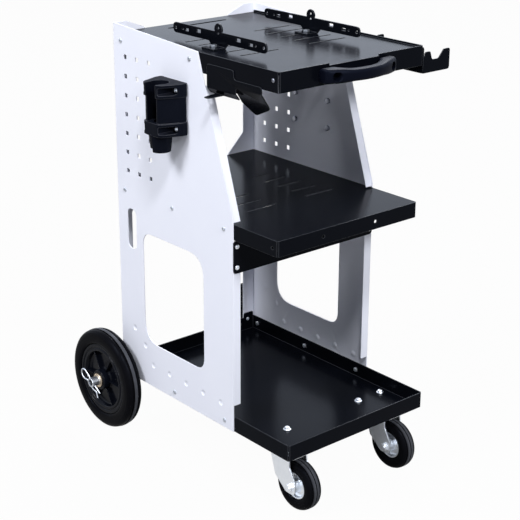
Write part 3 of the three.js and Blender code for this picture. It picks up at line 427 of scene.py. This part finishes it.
def screw_head(centre, axis, way, size):
    """A low dome on a short rim, with a cross sunk into the top where one of the two offsets is small."""
    share = np.linspace(0.0, 1.0, DOME_STEPS)
    dome = np.stack([size * share, DOME_RISE * size * np.sqrt(1.0 - DOME_FALL * share**2)], axis=-1)
    foot = [[size, HEAD_RIM * size], [size * HEAD_FOOT, -HEAD_SUNK], [0.0, -HEAD_SUNK]]
    profile = np.concatenate([dome, foot])
    turn = np.linspace(0.0, 2 * math.pi, SCREW_STEPS, endpoint=False)
    grid = turned(profile, np.zeros(3), axis, 1.0, SCREW_STEPS)
    offsets = np.abs(profile[:, 0, None, None] * np.stack([np.cos(turn), np.sin(turn)], axis=-1))
    narrow = ease((CROSS_HALF_WIDTH * size - offsets.min(axis=-1)) / (CROSS_WIDTH_EDGE * size))
    short = ease((CROSS_HALF_LENGTH * size - offsets.max(axis=-1)) / (CROSS_LENGTH_EDGE * size))
    top = (np.arange(len(profile)) < len(dome))[:, None]
    sunk = narrow * short * top * CROSS_DEPTH * size * MM
    grid = grid - sunk[..., None] * UNIT[axis]
    return centre + grid * np.where(UNIT[axis] > 0, way, 1.0)


def hexagon_head(centre, axis, way, size, height):
    """A hexagon with corners cut by a cone: at each turn the smaller of the flat and the cone counts."""
    profile = np.array(HEXAGON_LINE) * [size, height]
    turn = np.linspace(0.0, 2 * math.pi, HEXAGON_STEPS, endpoint=False)
    flat = HEXAGON_FLAT * size / np.cos(np.mod(turn, math.pi / 3) - math.pi / 6)
    radius = np.minimum(profile[:, 0, None], flat) * MM
    spin = np.cos(turn)[:, None] * UNIT[(axis + 1) % 3] + np.sin(turn)[:, None] * UNIT[(axis + 2) % 3]
    rise = way * profile[:, 1, None, None] * MM * UNIT[axis]
    return centre + rise + radius[..., None] * spin


def washer(centre, axis, way, size, hole, thick):
    """A flat ring with softened edges, turned about the axis."""
    line = softened([(hole, 0), (hole, thick), (size, thick), (size, 0), (hole, 0)], WASHER_EDGE)
    return turned(line, centre, axis, way, WASHER_STEPS)


bright_zinc = zinc_material("bright_zinc", ZINC, ZINC_SHADE)
dull_zinc = zinc_material("dull_zinc", DULL_ZINC, DULL_SHADE)
dark_zinc = zinc_material("dark_zinc", DARK_ZINC, DARK_SHADE)
yellow_zinc = zinc_material("yellow_zinc", YELLOW_ZINC, YELLOW_SHADE)
PANEL_SCREWS = [(24, 829), (240, 829), (24, 529), (180, 529), (337, 529),
                (24, 139), (178, 139), (337, 139)]
PANEL_SCREW_SIZE = 4.4
heads = [screw_head(at(x, side * OUTER_FACE, z), ACROSS, side, PANEL_SCREW_SIZE)
         for side in SIDES.values() for x, z in PANEL_SCREWS]
piece("panel_screws", heads, dull_zinc, "cart")

CROSS_PLATE_FACE = 365
CROSS_SCREWS = [(y, z) for y in (-170.5, 170.5) for z in (500, 459)]
PLATE_SCREW_SIZE = 4.6
cross_heads = [screw_head(at(CROSS_PLATE_FACE, y, z), ALONG, 1.0, PLATE_SCREW_SIZE) for y, z in CROSS_SCREWS]
piece("cross_plate_screws", cross_heads, bright_zinc, "cart")

POCKET_HEIGHT = 20.0
HOLDER_SCREWS = [(x, z) for x in (225, 163) for z in (770.5, 697.5)]
pocket_floor = -OUTER_FACE - POCKET_HEIGHT
holder_heads = [screw_head(at(x, pocket_floor, z), ACROSS, -1.0, PLATE_SCREW_SIZE) for x, z in HOLDER_SCREWS]
piece("torch_holder_screws", holder_heads, bright_zinc, "cart")

HANDLE_SCREW_SIZE = 5.4
handle_heads = [screw_head(at(FLANGE_X + HANDLE_SEAT, side * HANDLE_SCREW_Y, HANDLE_MID_Z), ALONG, 1.0,
                           HANDLE_SCREW_SIZE) for side in SIDES.values()]
handle_screws = piece("handle_screws", handle_heads, bright_zinc, "cart")
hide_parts("handle_screw_right", "handle_screw_left")

FLANGE_SCREW = (470, 829)
FLANGE_SCREW_SIZE = 3.6
INNER_NUTS = [(136, 638), (233.5, 694), (233.5, 638), (136, 694)]
NUT_SIZE = 5.2
NUT_HEIGHT = 5.0
dark_heads = [screw_head(at(FLANGE_SCREW[0], side * INNER_FACE, FLANGE_SCREW[1]), ACROSS, side,
                         FLANGE_SCREW_SIZE) for side in SIDES.values()]
dark_heads += [hexagon_head(at(x, INNER_FACE, z), ACROSS, -1.0, NUT_SIZE, NUT_HEIGHT) for x, z in INNER_NUTS]
piece("dark_screws", dark_heads, dark_zinc, "cart")

WALL_FACE = 174.5
WALL_ENDS = [20, 178, 336]
WALL_END_Z = 140
WALL_END_SIZE = 4.4
WALL_END_HEIGHT = 3.6
REAR_SCREW = (4, 158, 151)
REAR_SCREW_SIZE = 4.0
inner_ends = [hexagon_head(at(x, side * WALL_FACE, WALL_END_Z), ACROSS, -side, WALL_END_SIZE, WALL_END_HEIGHT)
              for side in SIDES.values() for x in WALL_ENDS]
inner_ends += [screw_head(at(REAR_SCREW[0], side * REAR_SCREW[1], REAR_SCREW[2]), ALONG, 1.0, REAR_SCREW_SIZE)
               for side in SIDES.values()]
piece("inner_screw_ends", inner_ends, bright_zinc, "cart")

CASTER_X = 464.0
CASTER_Y = 126.0
PLATE_BOLT_X = 40.0
PLATE_BOLT_Y = 31.0
DECK_FLOOR = 126.0
WASHER_SIZE = 7.5
WASHER_THICK = 1.2
BOLT_SIZE = 5.0
BOLT_HEIGHT = 4.0
plate_bolts = []
for side in SIDES.values():
    for forward in (-1, 1):
        for outward in (-1, 1):
            y = side * CASTER_Y + outward * PLATE_BOLT_Y
            foot = at(CASTER_X + forward * PLATE_BOLT_X, y, DECK_FLOOR)
            seat = foot + WASHER_THICK * MM * UNIT[UPWARD]
            plate_bolts.append(washer(foot, UPWARD, 1.0, WASHER_SIZE, 0.0, WASHER_THICK))
            plate_bolts.append(hexagon_head(seat, UPWARD, 1.0, BOLT_SIZE, BOLT_HEIGHT))
piece("caster_plate_bolts", plate_bolts, bright_zinc, "cart")

NODE_METALS = {"caster_plate": bright_zinc, "king_nut": bright_zinc, "caster_fork": bright_zinc,
               "wheel_spacer": dull_zinc, "clamp_bolt": dull_zinc, "axle_washer": yellow_zinc}
for name, metal in NODE_METALS.items():
    for side in SIDES:
        dress_node(f"{name}_{side}", metal, PLATING_RADIUS)

# Rear axle and clips
# A zinc plated tube carries both wheels, with a washer and a spring wire clip at either end.
AXLE_X = -23.0
AXLE_Z = 107.0
AXLE_HALF = 248.8
AXLE_RADIUS = 10.0
AXLE_BORE = 7.0
CLIP_Y = 242.8
CLIP_WIRE = 1.7
CLIP_LENGTH = 72.0
CLIP_LOOP = 19.0
CLIP_TILT = math.radians(34)
CLIP_GAP = 0.3
AXLE_EDGE = 0.8
AXLE_STEPS = 64

axle_line = softened([(AXLE_BORE, -AXLE_HALF), (AXLE_RADIUS, -AXLE_HALF), (AXLE_RADIUS, AXLE_HALF),
                      (AXLE_BORE, AXLE_HALF), (AXLE_BORE, -AXLE_HALF)], AXLE_EDGE)
axle_tube = turned(axle_line, at(AXLE_X, 0, AXLE_Z), ACROSS, 1.0, AXLE_STEPS)
axle = piece("rear_axle_tube", [axle_tube], dull_zinc, "cart")
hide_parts("rear_axle")


def flowing(points, steps=12):
    """A smooth line through the points: on each stretch the cubic that leaves along the chord of its
    neighbours."""
    ends = np.concatenate([[2 * points[0] - points[1]], points, [2 * points[-1] - points[-2]]])
    before = ends[:-3, None]
    first = ends[1:-2, None]
    second = ends[2:-1, None]
    after = ends[3:, None]
    share = np.linspace(0.0, 1.0, steps, endpoint=False)[None, :, None]
    line = 0.5 * (2 * first + (second - before) * share
                  + (2 * before - 5 * first + 4 * second - after) * share**2
                  + (3 * first - before - 3 * second + after) * share**3)
    return np.concatenate([line.reshape(-1, points.shape[1]), points[-1:]])


def wire(path, plane_normal, radius, steps=14):
    """A round section carried along a flat path, set off along the plane's normal and across the path."""
    along = np.gradient(path, axis=0)
    along /= np.linalg.norm(along, axis=1, keepdims=True)
    across = np.cross(along, plane_normal)
    turn = np.linspace(0.0, 2 * math.pi, steps, endpoint=False)
    ring = np.cos(turn)[None, :, None] * plane_normal + np.sin(turn)[None, :, None] * across[:, None]
    grid = path[:, None] + radius * ring
    return np.concatenate([path[:1, None].repeat(steps, 1), grid, path[-1:, None].repeat(steps, 1)])


over = AXLE_RADIUS + CLIP_WIRE + CLIP_GAP
clip_points = np.array([
    (0.43, 0.0), (0.20, 0.0), (-0.20, 0.0), (-0.44, 0.0), (-0.53, 0.2 * CLIP_LOOP),
    (-0.565, 0.55 * CLIP_LOOP), (-0.49, 0.95 * CLIP_LOOP), (-0.35, CLIP_LOOP),
    (-0.21, over + CLIP_WIRE / 3), (-0.1, over + CLIP_WIRE / 2), (0.04, over + CLIP_WIRE / 2),
    (0.18, over - CLIP_WIRE / 2), (0.29, over - 2 * CLIP_WIRE), (0.43, over + 2 * CLIP_WIRE)])
clip_line = flowing(clip_points * [CLIP_LENGTH, -1.0])
clip_turn = np.array([[math.cos(CLIP_TILT), 0, -math.sin(CLIP_TILT)],
                      [math.sin(CLIP_TILT), 0, math.cos(CLIP_TILT)]])
for name, side in SIDES.items():
    path = at(AXLE_X, side * CLIP_Y, AXLE_Z) + clip_line @ clip_turn * MM
    clip_wire = wire(path, UNIT[ACROSS], CLIP_WIRE * MM)
    clip = piece(f"spring_clip_{name}", [clip_wire], dull_zinc, "cart")
    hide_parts(f"hairpin_clip_{name}")

# Rear wheels
# A glossy moulded rim with ribs and a hub, and a solid rubber tyre with two grooves round its tread.
WHEEL_Y = 206.0
RIB_COUNT = 6
RIB_START = 20
RIB_END = 60
RIB_HALF_WIDE = 1.1
RIB_HALF_TALL = 12
RIM_EDGE = 0.9
TYRE_EDGE = 0.8
RIM_STEPS = 144
TYRE_STEPS = 160
BAR_STEPS = 32
BAR_POWER = 0.5
SAME_POINT = 1e-6
TYRE = (0.0022, 0.0022, 0.003)
TYRE_SHADE = (0.004, 0.004, 0.005)
TYRE_GLOSS = 0.02
RIM_GLOSS = 0.07
# Grey tones of a band painted on the crown of the tread, which stands in for the sheen it catches.
TREAD_SHEEN = (0.075, 0.078, 0.090)
TREAD_SHEEN_DARK = (0.035, 0.037, 0.043)
SHEEN_BAND = 1.1

rim_black = finish_material("rim_black", PLASTIC, PLASTIC_SHADE, rough=0.20, rough_swing=0.05, peel=0.06,
                            depth=0.1 * MM, peel_scale=1500.0, gloss=RIM_GLOSS)


def tyre_material(name, x, z, radius):
    """Black rubber with a grey band painted on the crown of its tread as its sheen: the painted sheen grows
    from nothing a band below the tread to full at it, by the distance from the wheel's axle, which runs across
    at x and z."""
    material = finish_material(name, TYRE, TYRE_SHADE, rough=0.30, rough_swing=0.06, peel=0.10,
                               depth=0.15 * MM, peel_scale=1400.0, cloud_scale=40.0,
                               gloss=TYRE_GLOSS, tint=COOL_TINT)
    tree = material.node_tree
    surface = tree.nodes["Principled BSDF"]
    black = surface.inputs["Base Color"].links[0].from_socket
    place = add_node(tree, "ShaderNodeTexCoord")
    centred = add_node(tree, "ShaderNodeMapping")
    centred.inputs["Location"].default_value = -at(x, 0.0, z)
    flat = add_node(tree, "ShaderNodeVectorMath", operation="MULTIPLY")
    flat.inputs[1].default_value = (1.0, 0.0, 1.0)
    reach = add_node(tree, "ShaderNodeVectorMath", operation="LENGTH")
    # The band of painted sheen on the tread's crown, by the distance from the axle.
    sheen_mask = add_node(tree, "ShaderNodeMapRange", interpolation_type="SMOOTHSTEP")
    sheen_mask.inputs["From Min"].default_value = (radius - SHEEN_BAND) * MM
    sheen_mask.inputs["From Max"].default_value = radius * MM
    sheen_tone = add_node(tree, "ShaderNodeMix", data_type="RGBA")
    sheen_tone.inputs["A"].default_value = (*TREAD_SHEEN, 1.0)
    sheen_tone.inputs["B"].default_value = (*TREAD_SHEEN_DARK, 1.0)
    with_sheen = add_node(tree, "ShaderNodeMix", data_type="RGBA")
    grain = next(node for node in tree.nodes if node.type == "GROUP")
    tree.links.new(place.outputs["Object"], centred.inputs["Vector"])
    tree.links.new(centred.outputs["Vector"], flat.inputs[0])
    tree.links.new(flat.outputs["Vector"], reach.inputs[0])
    tree.links.new(reach.outputs["Value"], sheen_mask.inputs["Value"])
    tree.links.new(grain.outputs["Cloud"], sheen_tone.inputs["Factor"])
    tree.links.new(sheen_mask.outputs["Result"], with_sheen.inputs["Factor"])
    tree.links.new(black, with_sheen.inputs["A"])
    tree.links.new(sheen_tone.outputs["Result"], with_sheen.inputs["B"])
    tree.links.new(with_sheen.outputs["Result"], surface.inputs["Base Color"])
    return material


wheel_rubber = tyre_material("wheel_rubber", AXLE_X, AXLE_Z, AXLE_Z)

RIM_HALF_LINE = [(10.4, 22), (19.5, 22), (21, 20.5), (22, 7), (25, 4.5), (53, 4), (57, 5.5), (60, 12),
                 (61.5, 14), (66, 14), (67, 12.2), (69, 12.2), (70, 14), (75.5, 14), (77, 12.5)]
TYRE_HALF_LINE = [(77, 14.5), (79, 16.6), (82, 17.6), (88, 18), (96, 17.6), (101, 15.8), (104.4, 12.6),
                  (105.7, 9.4), (106, 6.8), (103, 6.2), (103, 4.6), (106.6, 3.9), (107, 2), (107, 0)]


def closed_line(half, radius):
    """A half profile and its mirror image in one closed line, with its corners softened."""
    above = np.asarray(half, float)
    below = above[::-1] * [1.0, -1.0]
    line = np.concatenate([above, below, above[:1]])
    keep = np.concatenate([[True], np.linalg.norm(np.diff(line, axis=0), axis=1) > SAME_POINT])
    return softened(line[keep], radius)


def rounded_bar(start, end, half_wide, half_tall, wide_axis, tall_axis):
    """A bar of nearly square section carried from start to end, with both ends drawn to a point."""
    turn = np.linspace(0.0, 2 * math.pi, BAR_STEPS, endpoint=False)
    wide = np.sign(np.cos(turn)) * np.abs(np.cos(turn)) ** BAR_POWER * half_wide
    tall = np.sign(np.sin(turn)) * np.abs(np.sin(turn)) ** BAR_POWER * half_tall
    ring = wide[:, None] * wide_axis + tall[:, None] * tall_axis
    size = np.array([0.0, 1.0, 1.0, 0.0])[:, None, None]
    path = np.stack([start, start, end, end])[:, None]
    return path + size * ring


for name, side in SIDES.items():
    centre = at(AXLE_X, side * WHEEL_Y, AXLE_Z)
    body = f"rear_wheel_{name}"
    angles = np.arange(RIB_COUNT) * 2 * math.pi / RIB_COUNT
    grids = [turned(closed_line(RIM_HALF_LINE, RIM_EDGE), centre, ACROSS, 1.0, RIM_STEPS)]
    for angle in angles:
        outward = np.array([math.cos(angle), 0.0, -math.sin(angle)])
        sideways = np.cross(UNIT[ACROSS], outward)
        start = centre + outward * RIB_START * MM
        end = centre + outward * RIB_END * MM
        grids.append(rounded_bar(start, end, RIB_HALF_WIDE * MM, RIB_HALF_TALL * MM, sideways, UNIT[ACROSS]))
    rim = piece(f"wheel_rim_{name}", grids, rim_black, body)
    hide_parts(f"rear_rim_{name}")
    tread = turned(closed_line(TYRE_HALF_LINE, TYRE_EDGE), centre, ACROSS, 1.0, TYRE_STEPS)
    tyre = piece(f"wheel_tyre_{name}", [tread], wheel_rubber, body)
    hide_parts(f"rear_tyre_{name}")

# Caster wheels
# A zinc plated hub with dished sides, in a black rubber tyre that has three grooves round its tread.
# A bolt with a hexagon at either end carries the wheel in its fork.
CASTER_AXLE_X = 495.0
CASTER_AXLE_Z = 50.0
HUB_HALF_LINE = [(5.4, 20.2), (11, 20.2), (12, 19), (12.5, 7), (14, 5.6), (20, 5), (22.5, 6.5), (24, 11),
                 (27, 11)]
CASTER_TYRE_LINE = [(27, 12.5), (29, 14.6), (33, 15.7), (38, 16), (43, 15.2), (46.6, 12.8), (48.4, 10.2),
                    (46.8, 9.6), (46.8, 8.6), (49.3, 8.0), (49.9, 4), (50, 1.2), (48.2, 0.7), (48.2, 0)]
SHANK_LINE = [(0, -30), (4.6, -30), (5, -29.4), (5, 29.4), (4.6, 30), (0, 30)]
HUB_EDGE = 0.8
CASTER_TYRE_EDGE = 0.7
CASTER_STEPS = 128
SHANK_STEPS = 32
FORK_OUTER = 23.5
BOLT_END_SIZE = 7.7
BOLT_END_HEIGHT = 5.8

caster_rubber = tyre_material("caster_rubber", CASTER_AXLE_X, CASTER_AXLE_Z, CASTER_AXLE_Z)
for name, side in SIDES.items():
    centre = at(CASTER_AXLE_X, side * CASTER_Y, CASTER_AXLE_Z)
    body = f"caster_wheel_{name}"
    disc = turned(closed_line(HUB_HALF_LINE, HUB_EDGE), centre, ACROSS)
    hub = piece(f"caster_wheel_hub_{name}", [disc], bright_zinc, body)
    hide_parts(f"caster_hub_{name}")
    tread = turned(closed_line(CASTER_TYRE_LINE, CASTER_TYRE_EDGE), centre, ACROSS, 1.0, CASTER_STEPS)
    tyre = piece(f"caster_wheel_tyre_{name}", [tread], caster_rubber, body)
    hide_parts(f"caster_tyre_{name}")
    shank = turned(SHANK_LINE, centre, ACROSS, 1.0, SHANK_STEPS)
    ends = [hexagon_head(centre + way * FORK_OUTER * MM * UNIT[ACROSS], ACROSS, way, BOLT_END_SIZE,
                         BOLT_END_HEIGHT) for way in (-1.0, 1.0)]
    bolt = piece(f"caster_bolt_{name}", [shank, *ends], bright_zinc, f"caster_fork_{name}")
    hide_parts(f"caster_axle_bolt_{name}")

# Studio
# A plain white floor, wide soft lamps to the right of the cart and behind it, and two weaker ones in front
# of it and at its front right corner.
FLOOR_SIZE = 60.0
LAMPS = [("side_lamp", (-0.4, -4.2, 4.5), 2.0, 262.0),
         ("front_lamp", (3.5, -0.45, 2.7), 1.0, 105.0),
         ("corner_lamp", (2.2, -1.5, 3.9), 0.6, 95.0),
         ("rear_lamp", (-2.6, 3.4, 4.6), 2.0, 220.0)]
TARGET = np.array([0.0, 0.0, 0.42])
FLOOR_PAINT = (0.3, 0.3, 0.3, 1.0)
FLOOR_SEEN = 0.97
FLOOR_MIRRORED = 0.55
# Size and soft edge of the painted shadow under the cart, which shows where the floor is mirrored.
PAINTED_SHADOW_SIZE = (0.40, 0.19, 1.0)
PAINTED_SHADOW_EDGE = (0.8, 1.2)
FILL_LEVEL = 0.06
GLOSS_LEVEL = 1.7
LAMP_COLOUR = (0.97, 0.98, 1.0)
MIRRORED_SKY = (0.80, 0.87, 1.0, 1.0)
SEEN_SKY = (0.98, 0.98, 0.98, 1.0)


def aim(position):
    """The turn that points a lamp's beam from its place to the middle of the cart."""
    way = TARGET - np.asarray(position)
    pitch = math.atan2(math.hypot(way[0], way[1]), -way[2])
    heading = math.atan2(-way[0], way[1])
    return (pitch, 0.0, heading)


def floor_material():
    """Grey paint that keeps a trace of the shadow. To the camera it is nearly plain white, and partly so where
    it is mirrored, but for an ellipse under the cart, a painted shadow, where only the shaded paint is
    mirrored."""
    material = bpy.data.materials.new("studio_floor")
    material.use_nodes = True
    tree = material.node_tree
    tree.nodes.clear()
    out = add_node(tree, "ShaderNodeOutputMaterial")
    paint = add_node(tree, "ShaderNodeBsdfDiffuse")
    paint.inputs["Color"].default_value = FLOOR_PAINT
    glow = add_node(tree, "ShaderNodeEmission")
    rays = add_node(tree, "ShaderNodeLightPath")
    beyond = add_node(tree, "ShaderNodeMath", operation="MAXIMUM")
    mirrored = add_node(tree, "ShaderNodeMath", operation="MULTIPLY")
    # An ellipse under the cart paints the cart's shadow into the mirrored floor.
    place = add_node(tree, "ShaderNodeTexCoord")
    scaled = add_node(tree, "ShaderNodeVectorMath", operation="DIVIDE")
    scaled.inputs[1].default_value = PAINTED_SHADOW_SIZE
    reach = add_node(tree, "ShaderNodeVectorMath", operation="LENGTH")
    clear = add_node(tree, "ShaderNodeMapRange", interpolation_type="SMOOTHSTEP")
    clear.inputs["From Min"].default_value = PAINTED_SHADOW_EDGE[0]
    clear.inputs["From Max"].default_value = PAINTED_SHADOW_EDGE[1]
    clear.inputs["To Max"].default_value = FLOOR_MIRRORED
    tree.links.new(place.outputs["Object"], scaled.inputs[0])
    tree.links.new(scaled.outputs["Vector"], reach.inputs[0])
    tree.links.new(reach.outputs["Value"], clear.inputs["Value"])
    tree.links.new(clear.outputs["Result"], mirrored.inputs[1])
    shown = add_node(tree, "ShaderNodeMath", operation="MULTIPLY_ADD")
    shown.inputs[1].default_value = FLOOR_SEEN
    mix = add_node(tree, "ShaderNodeMixShader")
    tree.links.new(rays.outputs["Is Glossy Ray"], beyond.inputs[0])
    tree.links.new(rays.outputs["Is Transmission Ray"], beyond.inputs[1])
    tree.links.new(beyond.outputs["Value"], mirrored.inputs[0])
    tree.links.new(rays.outputs["Is Camera Ray"], shown.inputs[0])
    tree.links.new(mirrored.outputs["Value"], shown.inputs[2])
    tree.links.new(shown.outputs["Value"], mix.inputs["Fac"])
    tree.links.new(paint.outputs["BSDF"], mix.inputs[1])
    tree.links.new(glow.outputs["Emission"], mix.inputs[2])
    tree.links.new(mix.outputs["Shader"], out.inputs["Surface"])
    return material


def light_world():
    """A plain world: white for the camera, cool and bright where it is mirrored, weak as light."""
    world = bpy.data.worlds.new("studio_world")
    bpy.context.scene.world = world
    world.use_nodes = True
    tree = world.node_tree
    sky = tree.nodes["Background"]
    rays = add_node(tree, "ShaderNodeLightPath")
    mirrored = add_node(tree, "ShaderNodeMath", operation="MULTIPLY_ADD")
    mirrored.inputs[1].default_value = GLOSS_LEVEL - FILL_LEVEL
    mirrored.inputs[2].default_value = FILL_LEVEL
    level = add_node(tree, "ShaderNodeMath", operation="MAXIMUM")
    tree.links.new(rays.outputs["Is Glossy Ray"], mirrored.inputs[0])
    tree.links.new(rays.outputs["Is Camera Ray"], level.inputs[0])
    tree.links.new(mirrored.outputs["Value"], level.inputs[1])
    tone = add_node(tree, "ShaderNodeMix", data_type="RGBA")
    tone.inputs["A"].default_value = MIRRORED_SKY
    tone.inputs["B"].default_value = SEEN_SKY
    tree.links.new(rays.outputs["Is Camera Ray"], tone.inputs["Factor"])
    tree.links.new(tone.outputs["Result"], sky.inputs["Color"])
    tree.links.new(level.outputs["Value"], sky.inputs["Strength"])


floor_mesh = bpy.data.meshes.new("studio_floor")
half = FLOOR_SIZE / 2
corners = [(-half, -half, 0), (half, -half, 0), (half, half, 0), (-half, half, 0)]
floor_mesh.from_pydata(corners, [], [(0, 1, 2, 3)])
floor_mesh.materials.append(floor_material())
floor = bpy.data.objects.new("studio_floor", floor_mesh)
bpy.context.scene.collection.objects.link(floor)
light_world()
for name, position, size, power in LAMPS:
    lamp = bpy.data.lights.new(name, "AREA")
    lamp.shape = "DISK"
    lamp.size = size
    lamp.energy = power
    lamp.color = LAMP_COLOUR
    stand = bpy.data.objects.new(name, lamp)
    stand.location = position
    stand.rotation_euler = aim(position)
    bpy.context.scene.collection.objects.link(stand)

# Camera
# It stands in front and to the right of the cart, a little above it.
CAMERA_PLACE = (1.9613, -1.6595, 1.3489)
CAMERA_PITCH = 19.412
CAMERA_HEADING = 50.191
SENSOR_WIDTH = 36.0
LENS_LENGTH = 94.28
LENS_SHIFT = (0.0327, -0.05)
camera_data = bpy.data.cameras.new("camera")
camera_data.sensor_width = SENSOR_WIDTH
camera_data.lens = LENS_LENGTH
camera_data.shift_x = LENS_SHIFT[0]
camera_data.shift_y = LENS_SHIFT[1]
camera = bpy.data.objects.new("camera", camera_data)
camera.location = CAMERA_PLACE
camera.rotation_euler = (math.radians(90.0 - CAMERA_PITCH), 0.0, math.radians(CAMERA_HEADING))
bpy.context.scene.collection.objects.link(camera)
bpy.context.scene.camera = camera
bpy.context.scene.view_settings.view_transform = "Standard"
